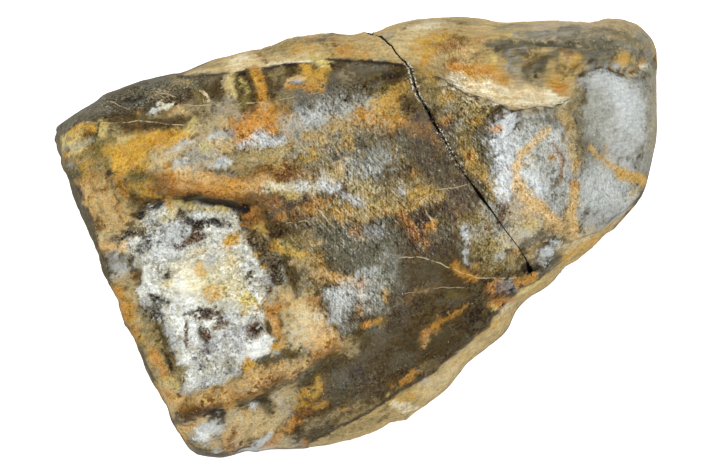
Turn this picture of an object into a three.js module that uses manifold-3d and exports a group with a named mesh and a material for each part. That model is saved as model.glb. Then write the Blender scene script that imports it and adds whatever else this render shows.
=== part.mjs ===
// The broken crown of a large meat-eating dinosaur's tooth, turned to stone, lying on its flatter
// side. It is one piece: a thin skin of enamel that grew on the dentine under it. The root is
// lost, so the wide end is a fracture, and the other end is the blunt, worn tip. A crack runs
// across the upper face, and the enamel has flaked off along both edges.
//
// Millimetres. +X runs along the crown from the broken end to the tip, +Z is up, and the origin
// is on the resting plane, under the middle of the crown.

import * as THREE from "three";
import { mergeVertices } from "three/addons/utils/BufferGeometryUtils.js";
import Module from "manifold-3d";

const wasm = await Module();
wasm.setup();

// ---- Driving dimensions --------------------------------------------------------------------

const LENGTH = 38.9; // broken end to tip
const WIDTH = 26.7; // edge to edge, at the widest

// Heights above the resting plane, each at a distance x along the crown: [x, height]. The belly
// is worn flat where it would reach below the plane.
const CREST = [[-19, 11.9], [-13, 12.6], [-6, 12.8], [2, 12.5], [9, 11.5], [15, 9.9], [19, 8.7]];
const RIM = [[-19, 6.2], [-8, 5.9], [6, 5.4], [14, 5.1], [19, 5.2]];
const BELLY = [[-19, 0.9], [-12, 0.0], [-4, -0.4], [5, -0.35], [11, 0.5], [16, 1.6], [19, 2.4]];

// How square the shoulders are, round the rim: [degrees from +X, exponent of a superellipse].
// 2 is round, and the broken end is nearly a flat wall.
const SHOULDER = [
  [-180, 8], [-152, 6], [-138, 2.6], [-90, 2.2], [-30, 2.4], [0, 2.9],
  [45, 2.5], [90, 3.0], [132, 3.0], [150, 5.5], [180, 8],
];

// The edge of the crown seen from above, clockwise from the upper corner of the broken end.
const OUTLINE = [
  [-19.3, 12.1], [-18.6, 12.45], [-17.1, 12.75], [-15.8, 13.05], [-15.2, 13.3], [-14.2, 13.2],
  [-13.3, 13.3], [-11.2, 13.05], [-10.1, 12.9], [-7.9, 13.0], [-6.0, 12.85], [-4.3, 12.65],
  [-2.4, 12.65], [-0.9, 12.25], [-0.2, 12.15], [0.9, 11.6], [2.2, 11.3], [4.4, 11.1],
  [6.0, 10.8], [8.0, 10.15], [9.4, 9.55], [10.3, 9.0], [12.2, 8.35], [13.8, 7.8],
  [15.0, 7.4], [15.6, 7.0], [16.4, 7.0], [18.0, 6.4], [18.8, 5.7], [19.2, 4.9],
  [19.45, 4.0], [19.2, 3.0], [18.7, 1.9], [18.0, 0.0], [17.3, -1.9], [16.0, -3.8],
  [15.1, -4.95], [14.0, -5.65], [12.0, -6.6], [9.8, -7.5], [9.0, -7.6], [7.4, -8.3],
  [6.0, -8.6], [5.0, -9.1], [4.0, -10.05], [2.9, -10.5], [0.4, -11.4], [-0.2, -11.9],
  [-1.3, -12.45], [-3.2, -13.05], [-4.2, -13.35], [-5.0, -13.2], [-6.6, -13.4], [-9.2, -13.15],
  [-11.5, -12.6], [-14.2, -11.65], [-16.1, -11.5], [-17.2, -11.0], [-18.1, -10.3], [-18.4, -8.8],
  [-18.5, -7.2], [-18.9, -4.0], [-19.1, 0.5], [-19.3, 5.0], [-19.4, 7.6], [-19.05, 9.2],
  [-19.45, 10.8],
];

// Places of the upper face that lie lower or higher than what surrounds them: a closed outline,
// the change of height, and the width of the slope at its edge.
const UPPER_STEPS = [
  {
    what: "hollow where the pulp cavity's mineral filling shows",
    lift: -0.85,
    slope: 1.5,
    outline: [
      [-18.4, 4.4], [-16.2, 5.3], [-13.6, 5.2], [-11.3, 4.3], [-9.2, 3.0], [-8.2, 1.0],
      [-8.4, -1.6], [-9.0, -2.9], [-10.4, -3.9], [-10.9, -5.8], [-12.6, -6.9], [-15.5, -7.1],
      [-17.4, -6.2], [-17.7, -3.4], [-18.2, 0.0],
    ],
  },
  {
    what: "chipped hollow at the lower corner of the broken end",
    lift: -0.7,
    slope: 1.2,
    outline: [
      [-18.6, -8.5], [-15.2, -8.6], [-12.2, -8.4], [-9.9, -9.0], [-10.6, -10.6], [-13.2, -11.3],
      [-16.2, -11.6], [-18.4, -10.4],
    ],
  },
  {
    what: "scooped hollow in the dentine beside the tip",
    lift: -0.95,
    slope: 1.5,
    outline: [
      [5.6, 7.2], [6.6, 5.6], [8.8, 3.9], [11.0, 3.1], [13.2, 3.2], [13.5, 4.2],
      [12.8, 5.3], [11.0, 5.9], [9.6, 7.3], [7.8, 8.3], [6.2, 8.5],
    ],
  },
  {
    what: "enamel, which stands above the dentine where it has flaked off",
    lift: 0.3,
    slope: 0.7,
    outline: [
      [-21, 15], [-10.4, 13.1], [-8.2, 12.2], [-6.2, 11.6], [-3.8, 11.2], [-1.0, 10.5],
      [0.9, 9.75], [3.4, 8.5], [4.6, 7.8], [5.9, 6.5], [7.0, 5.1], [9.0, 3.5],
      [11.0, 2.85], [13.4, 2.9], [14.0, 3.9], [15.6, 4.0], [17.0, 3.1], [21, 3.0],
      [21, -5.0], [15.0, -5.0], [12.9, -5.8], [10.0, -6.3], [7.6, -7.5], [5.2, -8.5],
      [2.0, -9.7], [-0.4, -10.7], [-3.0, -11.35], [-5.8, -12.0], [-8.8, -12.35], [-10.8, -12.4],
      [-13.4, -12.2], [-21, -12.5],
    ],
  },
];

// Lines along the upper face: a furrow has a negative lift, a ridge a positive one.
const UPPER_LINES = [
  {
    what: "swollen lip above the mineral hollow",
    lift: 0.6,
    width: 3.2,
    path: [[-18.0, 7.2], [-15.2, 6.7], [-12.4, 6.0], [-9.8, 4.9], [-7.4, 4.0], [-5.2, 3.9]],
  },
  {
    what: "deep corner under that lip",
    lift: -0.45,
    width: 1.1,
    path: [[-13.2, 5.0], [-11.4, 4.3], [-10.2, 3.5], [-9.2, 2.9]],
  },
  {
    what: "furrow at the inner side of the hollow",
    lift: -0.45,
    width: 1.3,
    path: [[-9.2, 1.4], [-8.5, -0.2], [-8.1, -2.0], [-7.9, -3.9]],
  },
  {
    what: "ridge between the two hollows",
    lift: 0.65,
    width: 2.2,
    path: [[-18.5, -7.4], [-15.5, -7.65], [-12.0, -7.6], [-9.0, -7.3], [-6.2, -6.9]],
  },
  {
    what: "crest where the face turns down to the upper edge",
    lift: 0.35,
    width: 2.0,
    path: [[-17.4, 11.8], [-14.0, 10.9], [-10.8, 10.4], [-8.0, 9.9], [-5.0, 9.1], [-2.0, 8.5]],
  },
  {
    what: "rounded ridge of dentine that ends at the tip",
    lift: 0.8,
    width: 3.4,
    path: [[10.2, 7.8], [13.2, 6.8], [15.8, 5.8], [18.0, 4.6]],
  },
  {
    what: "furrow along that ridge",
    lift: -0.4,
    width: 1.2,
    path: [[9.6, 7.6], [11.8, 7.2], [13.6, 6.5], [15.4, 5.7], [17.2, 5.1]],
  },
  {
    what: "seam between the ridge and the worn facet",
    lift: -0.55,
    width: 1.2,
    path: [[13.7, 4.2], [14.6, 3.8], [15.6, 3.95], [16.8, 3.2], [18.0, 2.9], [19.4, 2.9]],
  },
  {
    what: "hooked undercut in the scooped hollow",
    lift: -0.35,
    width: 1.2,
    path: [[10.3, 5.7], [11.3, 5.1], [12.2, 5.6], [13.1, 5.2]],
  },
  {
    what: "swelling behind the worn facet",
    lift: 0.35,
    width: 4.2,
    path: [[9.0, 1.6], [9.3, -1.0], [8.9, -3.6]],
  },
  {
    what: "shallow valley down the worn facet",
    lift: -0.4,
    width: 3.2,
    path: [[13.9, 2.2], [13.9, -0.2], [13.2, -2.6]],
  },
  {
    what: "low swell along the middle of the face",
    lift: 0.25,
    width: 4.5,
    path: [[-5.0, 4.6], [-0.5, 5.0], [3.6, 4.2]],
  },
  {
    what: "bulge of the lower half of the face",
    lift: 0.3,
    width: 5.0,
    path: [[-6.4, -4.6], [-1.5, -4.6], [3.5, -3.0]],
  },
];

// The same for the underside.
const LOWER_STEPS = [
  {
    what: "long spall of enamel beside the tip",
    lift: -0.5,
    slope: 1.3,
    outline: [[3.0, 2.0], [6.0, 5.2], [11.0, 5.0], [15.0, 3.4], [17.2, 0.6], [12.0, -0.6], [6.0, 0.2]],
  },
  {
    what: "flake lost from the corner of the broken end",
    lift: -0.6,
    slope: 1.2,
    outline: [[-19.5, 11.5], [-12.5, 10.8], [-10.2, 7.6], [-13.6, 5.0], [-19.5, 5.8]],
  },
];
const LOWER_LINES = [
  {
    what: "low ridge along the underside",
    lift: 0.5,
    width: 3.6,
    path: [[-17.0, -6.2], [-9.0, -7.6], [-1.0, -7.2], [6.0, -5.4], [12.0, -3.0]],
  },
  {
    what: "weathered furrow beside it",
    lift: -0.4,
    width: 1.6,
    path: [[-15.0, -9.0], [-8.0, -10.2], [-1.0, -9.8], [5.0, -7.9]],
  },
];

// The pulp cavity, a shallow oval in the fracture at the broken end: its middle, half-axes and depth.
const PULP = { y: 0.4, z: 6.4, halfWidth: 6.6, halfHeight: 2.9, depth: 1.5 };
const SPLINTER = 0.3; // depth of the furrows in the rest of the fracture

// The open crack across the upper face, from the upper edge: [x, y, width].
const CRACK = [
  [1.7, 11.9, 0.3], [2.7, 10.75, 0.3], [3.3, 9.9, 0.24], [3.5, 8.8, 0.24], [3.8, 8.5, 0.34],
  [3.75, 7.2, 0.4], [3.8, 6.0, 0.4], [4.0, 4.7, 0.5], [4.3, 3.1, 0.24], [4.6, 1.5, 0.2],
  [5.0, -0.3, 0.24], [5.35, -1.4, 0.34], [6.0, -3.6, 0.2], [6.45, -5.2, 0.22], [6.65, -6.3, 0.34],
  [6.65, -6.9, 0.6],
];
const CRACK_DEPTH = 1.1;
const CRACK_HEADROOM = 0.8; // the cutting wedge stands this far above the face

// Small waves of the edge fade out within this many degrees, away from the rim.
const EDGE_BLEND = 4;

// Cells of the box that the crown is shaped from: along, across and up.
const CELLS = [48, 33, 10];

// ---- Small helpers -------------------------------------------------------------------------

const { clamp, smoothstep, lerp, degToRad, radToDeg } = THREE.MathUtils;

/** The value at `at` in a table of [place, value], with soft steps between its places. */
function along(table, at) {
  const next = table.findIndex(([place]) => place > at);
  if (next === 0) return table[0][1];
  if (next < 0) return table[table.length - 1][1];
  const [[from, low], [to, high]] = [table[next - 1], table[next]];
  return lerp(low, high, smoothstep(at, from, to));
}

/** Distance from (x, y) to the line through the points of `path`, closed into a loop or not. */
function distanceTo(path, x, y, closed = false) {
  let nearest = Infinity;
  for (let i = closed ? 0 : 1; i < path.length; i++) {
    const [ax, ay] = path[(i + path.length - 1) % path.length];
    const [bx, by] = path[i];
    const [dx, dy] = [bx - ax, by - ay];
    const share = clamp(((x - ax) * dx + (y - ay) * dy) / (dx * dx + dy * dy), 0, 1);
    nearest = Math.min(nearest, Math.hypot(x - ax - share * dx, y - ay - share * dy));
  }
  return nearest;
}

/** True if (x, y) is inside the closed outline. */
function isInside(outline, x, y) {
  let inside = false;
  outline.forEach(([bx, by], i) => {
    const [ax, ay] = outline[(i + outline.length - 1) % outline.length];
    if (ay > y !== by > y && x < ax + ((bx - ax) * (y - ay)) / (by - ay)) inside = !inside;
  });
  return inside;
}

/** The change of height at (x, y) that these steps and lines make together. */
function relief(steps, lines, x, y) {
  let height = 0;
  for (const { outline, lift, slope } of steps) {
    const away = distanceTo(outline, x, y, true) * (isInside(outline, x, y) ? 1 : -1);
    height += lift * smoothstep(away, -slope / 2, slope / 2);
  }
  for (const { path, lift, width } of lines) {
    const share = distanceTo(path, x, y) / (width / 2);
    height += lift * Math.exp(-1.4 * share * share);
  }
  return height;
}

/** Slow unevenness of the weathered surface. */
function weathering(x, y) {
  return (
    0.1 * Math.sin(0.9 * x + 0.5 * y) * Math.cos(0.7 * y - 0.2 * x) +
    0.06 * Math.sin(2.1 * x - 1.3 * y + 1.0) * Math.cos(1.7 * y + 0.8 * x)
  );
}

// ---- The crown -----------------------------------------------------------------------------

const EDGE = new THREE.CatmullRomCurve3(
  OUTLINE.map(([x, y]) => new THREE.Vector3(x, y, 0)),
  true,
  "centripetal",
).getPoints(6 * OUTLINE.length);

/** Distance from the middle of the crown to its edge, in the direction of `angle`. */
function reach(angle) {
  const [cos, sin] = [Math.cos(angle), Math.sin(angle)];
  let far = 0;
  for (let i = 1; i < EDGE.length; i++) {
    const [a, b] = [EDGE[i - 1], EDGE[i]];
    const [sideA, sideB] = [a.y * cos - a.x * sin, b.y * cos - b.x * sin];
    if (sideA > 0 === sideB > 0) continue;
    const share = sideA / (sideA - sideB);
    const ahead = lerp(a.x, b.x, share) * cos + lerp(a.y, b.y, share) * sin;
    far = Math.max(far, ahead);
  }
  return far;
}

/** Distance to the edge with its small waves evened out. */
function evenReach(angle) {
  const step = degToRad(EDGE_BLEND);
  return (reach(angle - step) + 2 * reach(angle) + reach(angle + step)) / 4;
}

/** Height of the upper face at (x, y), where `rise` is 1 at the crest and 0 at the rim. */
function upperHeight(x, y, rise) {
  const hold = smoothstep(rise, 0.05, 0.5);
  const face = relief(UPPER_STEPS, UPPER_LINES, x, y) + weathering(x, y);
  return lerp(along(RIM, x), along(CREST, x), rise) + hold * face;
}

/** Height of the underside at (x, y), where `sink` is 1 at the belly and 0 at the rim. */
function lowerHeight(x, y, sink) {
  const hold = smoothstep(sink, 0.05, 0.5);
  const face = relief(LOWER_STEPS, LOWER_LINES, x, y) + weathering(y, x);
  return lerp(along(RIM, x), along(BELLY, x), sink) - hold * face;
}

/** Moves a point of the unit box's skin to the crown's surface. */
function shape(point) {
  const angle = Math.atan2(point.y * WIDTH, point.x * LENGTH);
  const out = Math.max(Math.abs(point.x), Math.abs(point.y));
  const up = Math.abs(point.z);
  const power = along(SHOULDER, radToDeg(angle));
  const norm = Math.pow(out ** power + up ** power, 1 / power);
  const edge = lerp(reach(angle), evenReach(angle), smoothstep(up / norm, 0.1, 0.6));
  const radius = (edge * out) / norm;
  const x = radius * Math.cos(angle);
  const y = radius * Math.sin(angle);
  const z = point.z > 0 ? upperHeight(x, y, up / norm) : lowerHeight(x, y, up / norm);
  return point.set(x, y, z);
}

/** Sinks the pulp cavity and the rough fracture into the broken end. */
function breakEnd(point) {
  const atWall = smoothstep(-point.x, 0.44 * LENGTH, 0.485 * LENGTH);
  const oval = Math.hypot((point.y - PULP.y) / PULP.halfWidth, (point.z - PULP.z) / PULP.halfHeight);
  const cavity = PULP.depth * (1 - smoothstep(oval, 0.5, 1.1));
  const furrows = (SPLINTER / 2) * (1 + Math.sin(1.7 * point.y + 0.9 * Math.sin(0.8 * point.z)));
  const offRim = smoothstep(Math.abs(point.z - along(RIM, point.x)), 0.4, 2.2);
  point.x += atWall * (cavity + furrows * offRim);
  return point;
}

function crownGeometry() {
  const box = new THREE.BoxGeometry(2, 2, 2, ...CELLS);
  box.deleteAttribute("normal");
  box.deleteAttribute("uv");
  const skin = mergeVertices(box);
  const position = skin.getAttribute("position");
  const point = new THREE.Vector3();
  for (let i = 0; i < position.count; i++) {
    breakEnd(shape(point.fromBufferAttribute(position, i)));
    position.setXYZ(i, point.x, point.y, point.z);
  }
  return skin;
}

// ---- Cuts ----------------------------------------------------------------------------------

/** Height of the finished upper face above a plan point. */
function faceHeight(x, y) {
  const angle = Math.atan2(y, x);
  const power = along(SHOULDER, radToDeg(angle));
  const out = Math.min(Math.hypot(x, y) / reach(angle), 1);
  return upperHeight(x, y, Math.pow(1 - out ** power, 1 / power));
}

/** A wedge with its sharp edge down, which follows the crack at CRACK_DEPTH under the face. */
function crackWedge() {
  const corners = [];
  CRACK.forEach(([x, y, width], i) => {
    const [px, py] = CRACK[Math.max(i - 1, 0)];
    const [nx, ny] = CRACK[Math.min(i + 1, CRACK.length - 1)];
    const run = Math.hypot(nx - px, ny - py);
    const open = (width / 2) * (1 + CRACK_HEADROOM / CRACK_DEPTH);
    const [sx, sy] = [(-(ny - py) / run) * open, ((nx - px) / run) * open];
    const face = faceHeight(x, y);
    corners.push([x + sx, y + sy, face + CRACK_HEADROOM]);
    corners.push([x - sx, y - sy, face + CRACK_HEADROOM]);
    corners.push([x, y, face - CRACK_DEPTH]);
  });
  const faces = [0, 2, 1];
  for (let i = 0; i < CRACK.length - 1; i++) {
    const at = 3 * i;
    for (const [p, q] of [[0, 1], [1, 2], [2, 0]]) {
      faces.push(at + p, at + q, at + q + 3, at + p, at + q + 3, at + p + 3);
    }
  }
  const last = corners.length - 3;
  faces.push(last, last + 1, last + 2);
  return new THREE.BufferGeometry()
    .setAttribute("position", new THREE.Float32BufferAttribute(corners.flat(), 3))
    .setIndex(faces);
}

/** Everything above the resting plane. */
function aboveRest() {
  const block = new THREE.BoxGeometry(2 * LENGTH, 2 * WIDTH, LENGTH);
  block.translate(0, 0, LENGTH / 2);
  block.deleteAttribute("normal");
  block.deleteAttribute("uv");
  return mergeVertices(block);
}

function solid(geometry) {
  return new wasm.Manifold(
    new wasm.Mesh({
      numProp: 3,
      vertProperties: new Float32Array(geometry.getAttribute("position").array),
      triVerts: new Uint32Array(geometry.index.array),
    }),
  );
}

function geometryOf(manifold) {
  const { vertProperties, triVerts } = manifold.getMesh();
  const geometry = new THREE.BufferGeometry()
    .setAttribute("position", new THREE.BufferAttribute(vertProperties, 3))
    .setIndex(new THREE.BufferAttribute(triVerts, 1));
  geometry.computeVertexNormals();
  return geometry;
}

// ---- The part ------------------------------------------------------------------------------

const tooth = new THREE.Mesh(
  geometryOf(solid(crownGeometry()).intersect(solid(aboveRest())).subtract(solid(crackWedge()))),
  new THREE.MeshStandardMaterial({ color: 0x5b4a36, roughness: 0.45, metalness: 0 }),
);
tooth.name = "tooth";

const fossil = new THREE.Group();
fossil.add(tooth);

export default fossil;
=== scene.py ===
# %% [markdown]
# # A dinosaur's tooth, turned to stone
#
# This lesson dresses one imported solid: the broken crown of a large meat-eater's tooth, lying on its
# side. The solid already has the right size and main shape. What it lacks is everything that says
# fossil: glossy brown enamel with a broken edge, bare tan dentine beside it, an open crack, a
# crust of white minerals where the pulp was, and iron stains in every tone of ochre.
#
# The work has four parts: a copy of the solid is given a finer skin, that skin is sculpted by moving
# its points, painted strokes say where each mineral lies, and one material turns the strokes into
# colour, gloss and fine relief.

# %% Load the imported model
import math

import bmesh
import bpy
import numpy as np
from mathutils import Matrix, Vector, noise


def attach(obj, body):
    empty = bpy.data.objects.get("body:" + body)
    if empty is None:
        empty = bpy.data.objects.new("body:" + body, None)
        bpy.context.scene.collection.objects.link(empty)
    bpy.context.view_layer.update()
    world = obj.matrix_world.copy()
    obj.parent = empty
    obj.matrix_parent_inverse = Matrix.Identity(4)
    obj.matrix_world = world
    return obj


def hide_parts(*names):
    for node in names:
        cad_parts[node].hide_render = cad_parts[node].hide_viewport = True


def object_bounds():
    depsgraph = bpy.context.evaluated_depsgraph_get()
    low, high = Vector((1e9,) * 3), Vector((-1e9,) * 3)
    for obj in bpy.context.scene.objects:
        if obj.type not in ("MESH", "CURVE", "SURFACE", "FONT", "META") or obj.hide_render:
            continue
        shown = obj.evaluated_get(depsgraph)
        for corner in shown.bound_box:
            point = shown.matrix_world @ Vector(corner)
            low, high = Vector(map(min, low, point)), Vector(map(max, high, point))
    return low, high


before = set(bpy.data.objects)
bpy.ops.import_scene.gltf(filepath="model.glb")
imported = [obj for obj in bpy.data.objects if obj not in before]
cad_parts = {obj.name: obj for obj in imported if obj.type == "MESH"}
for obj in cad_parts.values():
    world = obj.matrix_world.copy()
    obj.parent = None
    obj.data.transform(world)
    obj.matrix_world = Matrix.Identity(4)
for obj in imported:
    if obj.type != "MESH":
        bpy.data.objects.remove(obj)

cad_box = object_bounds()
MM = 0.001
print("solid, in mm:", [round((high - low) / MM, 1) for low, high in zip(*cad_box)])

# %% [markdown]
# ## The camera
#
# The crown is looked at from straight above, turned so that its tip points up and to the right. A long
# lens keeps the high middle of the face from growing against the low rim, much as the long macro
# lens of a collection's copy stand does. The other choice, an orthographic camera, would have no depth
# at all in the side views.

# %% Camera straight above the crown
VIEW_CENTRE = (-3.23, -0.90)  # mm, the point of the crown in the middle of the picture
VIEW_SPAN = 46.02  # mm, what the long side of the picture covers at the rim's height
RIM_HEIGHT = 5.75  # mm
LENS = 400.0  # mm
SENSOR = 36.0  # mm
TURN = -20.0  # degrees

distance = VIEW_SPAN / SENSOR * LENS
camera = bpy.data.objects.new("copy_stand_camera", bpy.data.cameras.new("copy_stand_camera"))
camera.data.lens = LENS
camera.data.sensor_width = SENSOR
camera.data.clip_start = 0.01
camera.data.clip_end = 5.0
camera.location = (VIEW_CENTRE[0] * MM, VIEW_CENTRE[1] * MM, (RIM_HEIGHT + distance) * MM)
camera.rotation_euler = (0.0, 0.0, math.radians(TURN))
bpy.context.scene.collection.objects.link(camera)
bpy.context.scene.camera = camera
print(f"camera {distance:.0f} mm above the rim")

# %% [markdown]
# ## Colour, and a helper for shader maths
#
# Stone colours are easiest to pick as the red, green and blue bytes of a colour picker, but shaders
# need linear light, so one function converts. The second helper is a small class around one output
# of a node. With its operators, a mask is written as ordinary maths instead of as forty nodes that are
# placed by hand.

# %% Colours from a picker
def picked(red, green, blue):
    """The linear colour of three bytes from a colour picker, with alpha 1."""
    shares = [byte / 255 for byte in (red, green, blue)]
    linear = [s / 12.92 if s <= 0.04045 else ((s + 0.055) / 1.055) ** 2.4 for s in shares]
    return (*linear, 1.0)


# %% Shader maths
class Wire:
    """One output of a node in the tree that is being made."""

    tree = None

    def __init__(self, socket):
        self.socket = socket

    @classmethod
    def node(cls, kind, settings=None, sockets=None, output=0):
        """Adds a node: its settings first, then a value or a Wire for each named socket."""
        made = cls.tree.nodes.new(kind)
        for name, value in (settings or {}).items():
            setattr(made, name, value)
        for name, value in (sockets or {}).items():
            socket = cls.find(made.inputs, name)
            if isinstance(value, Wire):
                cls.tree.links.new(value.socket, socket)
            else:
                socket.default_value = value
        return None if output is None else cls(cls.find(made.outputs, output))

    @staticmethod
    def find(sockets, name):
        """A socket by its number, its identifier or its name."""
        if isinstance(name, int):
            return sockets[name]
        for socket in sockets:
            if socket.identifier == name:
                return socket
        return sockets[name]

    def twin(self, name):
        """Another output of the same node."""
        return Wire(self.find(self.socket.node.outputs, name))

    def maths(self, operation, *others):
        numbered = dict(enumerate((self, *others)))
        return Wire.node("ShaderNodeMath", {"operation": operation}, numbered)

    def __add__(self, other):
        return self.maths("ADD", other)

    __radd__ = __add__

    def __mul__(self, other):
        return self.maths("MULTIPLY", other)

    __rmul__ = __mul__

    def __sub__(self, other):
        return self.maths("SUBTRACT", other)

    def __rsub__(self, other):
        return Wire.node("ShaderNodeMath", {"operation": "SUBTRACT"}, {0: other, 1: self})

    def __abs__(self):
        return self.maths("ABSOLUTE")

    def most(self, other):
        return self.maths("MAXIMUM", other)

    def least(self, other):
        return self.maths("MINIMUM", other)

    def step(self, low, high):
        """0 below `low`, 1 above `high`, and a soft rise between; it falls where low > high."""
        ends = {"Value": self, "From Min": min(low, high), "From Max": max(low, high)}
        if low > high:
            ends.update({"To Min": 1.0, "To Max": 0.0})
        return Wire.node("ShaderNodeMapRange", {"interpolation_type": "SMOOTHSTEP"}, ends)

    def over(self, below, above):
        """The colour `below`, covered by the colour `above` where this mask is 1."""
        sockets = {"Factor_Float": self, "A_Color": below, "B_Color": above}
        return Wire.node("ShaderNodeMix", {"data_type": "RGBA"}, sockets, "Result_Color")


print("helpers ready")

# %% [markdown]
# ## A finer skin
#
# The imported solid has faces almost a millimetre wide, and the crown's detail is a fifth of that. The
# CAD mesh itself isn't touched: a copy of it is welded, because its triangles come loose, and then
# skinned again by the Remesh modifier in voxel mode, which gives even faces everywhere. Subdividing the
# copy would keep its long thin triangles, and they show up in a glossy surface. A little smoothing
# takes away the voxels' steps.

# %% Weld a copy of the solid
WELDED_WITHIN = 0.002  # mm

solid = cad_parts["tooth"]
crown = bpy.data.objects.new("crown", bpy.data.meshes.new("crown"))
bpy.context.scene.collection.objects.link(crown)

welded = bmesh.new()
welded.from_mesh(solid.data)
bmesh.ops.remove_doubles(welded, verts=welded.verts, dist=WELDED_WITHIN * MM)
welded.to_mesh(crown.data)
welded.free()
crown.data.materials.clear()
print("welded copy:", len(crown.data.vertices), "points")

# %% Skin it again with even faces
VOXEL = 0.218  # mm; finer voxels would take the crown past 200,000 triangles
SMOOTHING = 0.5  # how far each round moves a point towards its neighbours' middle
SMOOTHING_ROUNDS = 3


def keep_modifiers(piece):
    """Makes what the piece's modifiers show into its own mesh."""
    graph = bpy.context.evaluated_depsgraph_get()
    shown = bpy.data.meshes.new_from_object(piece.evaluated_get(graph))
    piece.modifiers.clear()
    piece.data = shown


skin = crown.modifiers.new("skin", "REMESH")
skin.mode = "VOXEL"
skin.voxel_size = VOXEL * MM
skin.adaptivity = 0.0
evened = crown.modifiers.new("evened", "SMOOTH")
evened.factor = SMOOTHING
evened.iterations = SMOOTHING_ROUNDS
keep_modifiers(crown)
print("even skin:", len(crown.data.vertices), "points,", len(crown.data.polygons), "faces")

# %% [markdown]
# ## Strokes and dabs
#
# Everything that varies over the crown is written down in millimetres seen from above, as a person would
# mark up a drawing: a stroke is a bent line with a width, and a dab is an oval spot. Both fade at
# their border, so a field made of them runs from 0 to 1. The same few functions serve the sculpting
# and, later, the stains.

# %% Points of the crown, and noise on them
NOISE_SPREAD = 1.6  # widens the noise, which rarely leaves -0.6 to 0.6
GRAIN_BORDER = 2.5  # how narrow the border between two grains is
LUMPS_APART = Vector((11.3, 5.7, 8.1))  # how far the next seed's noise lies, in lumps
GRAINS_APART = Vector((3.1, 9.4, 6.6))


def points_of(piece):
    """The piece's points in mm, and its normals, as arrays."""
    places = np.empty(3 * len(piece.data.vertices), np.float32)
    piece.data.vertices.foreach_get("co", places)
    normals = np.empty(3 * len(piece.data.vertices), np.float32)
    piece.data.vertices.foreach_get("normal", normals)
    return places.reshape(-1, 3).astype(float) / MM, normals.reshape(-1, 3).astype(float)


def move_points(piece, places):
    """Moves the piece's points to these places, given in mm."""
    piece.data.vertices.foreach_set("co", (places * MM).astype(np.float32).ravel())
    piece.data.update()


def lumps(places, size, seed):
    """Smooth noise from about -1 to 1, with lumps of `size` mm."""
    shift = LUMPS_APART * seed
    return np.array([noise.noise(Vector(place) / size + shift) for place in places]) * NOISE_SPREAD


def grains(places, size, seed):
    """0 in the middle of a grain and about 1 at the border between two, with grains of `size` mm."""
    shift = GRAINS_APART * seed
    gaps = [noise.voronoi(Vector(place) / size + shift)[0] for place in places]
    return np.array([1.0 - min(1.0, GRAIN_BORDER * (gap[1] - gap[0])) for gap in gaps])


print("noise ready")

# %% Fields of strokes and dabs
DAB_FULL = 0.3  # the share of its half-axes to which a dab is full
DAB_GONE = 1.5  # and the share where nothing is left of it
FAR = 1e9  # mm


def fade(value, low, high):
    """0 at `low`, 1 at `high` and soft between."""
    share = np.clip((value - low) / (high - low), 0.0, 1.0)
    return share * share * (3.0 - 2.0 * share)


def to_path(plan, path):
    """For each plan point: its distance to the path, signed with left above 0, and the share along it."""
    nearest = np.full(len(plan), FAR)
    side = np.zeros(len(plan))
    share = np.zeros(len(plan))
    path = np.asarray(path, float)
    for place, (start, end) in enumerate(zip(path[:-1], path[1:])):
        run = end - start
        reach = plan - start
        t = np.clip(reach @ run / (run @ run), 0.0, 1.0)
        away = reach - t[:, None] * run
        gap = np.hypot(away[:, 0], away[:, 1])
        closer = gap < nearest
        left = np.sign(run[0] * reach[:, 1] - run[1] * reach[:, 0])
        nearest[closer] = gap[closer]
        side[closer] = (gap * left)[closer]
        share[closer] = ((place + t) / (len(path) - 1))[closer]
    return nearest, side, share


def stroke(plan, width, path, strength=1.0):
    """A stroke along the path: 1 at its middle, a half at half its width, 0 at its width."""
    gap = to_path(plan, path)[0]
    return strength * (1.0 - fade(gap, 0.0, width))


def dab(plan, x, y, long, short=None, turn=0.0, strength=1.0):
    """An oval spot with half-axes `long` and `short`, turned by `turn` degrees."""
    angle = math.radians(turn)
    dx, dy = plan[:, 0] - x, plan[:, 1] - y
    along = (dx * math.cos(angle) + dy * math.sin(angle)) / long
    across = (dy * math.cos(angle) - dx * math.sin(angle)) / (short or long)
    return strength * (1.0 - fade(np.hypot(along, across), DAB_FULL, DAB_GONE))


def gathered(plan, strokes=(), dabs=()):
    """The strongest of all these strokes and dabs at each point."""
    field = np.zeros(len(plan))
    for width, path, *strength in strokes:
        field = np.maximum(field, stroke(plan, width, path, *strength))
    for spot in dabs:
        field = np.maximum(field, dab(plan, *spot))
    return field


def inside(plan, outline):
    """Signed distance to a closed outline in mm, positive inside."""
    closed = [*outline, outline[0]]
    gap = to_path(plan, closed)[0]
    within = np.zeros(len(plan), bool)
    for (ax, ay), (bx, by) in zip(closed[:-1], closed[1:]):
        if ay == by:
            continue
        crosses = (ay > plan[:, 1]) != (by > plan[:, 1])
        within ^= crosses & (plan[:, 0] < ax + (bx - ax) * (plan[:, 1] - ay) / (by - ay))
    return np.where(within, gap, -gap)


print("strokes and dabs ready")

# %% [markdown]
# ## Sculpting the crown
#
# A sculptor would use a brush; here each brush stroke is a line of numbers, which can be changed
# later without doing the others again. Points move along their normals. The forms are the ones a
# collector looks for: the broken edge of the enamel, which stands a fifth of a millimetre above the
# dentine, the crystals in the pulp's hollow, the ledge above it, the scooped basin near the tip with
# its rippled ridge, and the crack. A number in front of a noise says how many mm it counts for.

# %% The drawing plane
def as_drawn(places):
    """Where the camera sees each point, on the plane of the rim: every stroke is drawn on that plane."""
    nearer = distance / (distance - (places[:, 2:] - RIM_HEIGHT))
    return VIEW_CENTRE + (places[:, :2] - VIEW_CENTRE) * nearer


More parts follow.
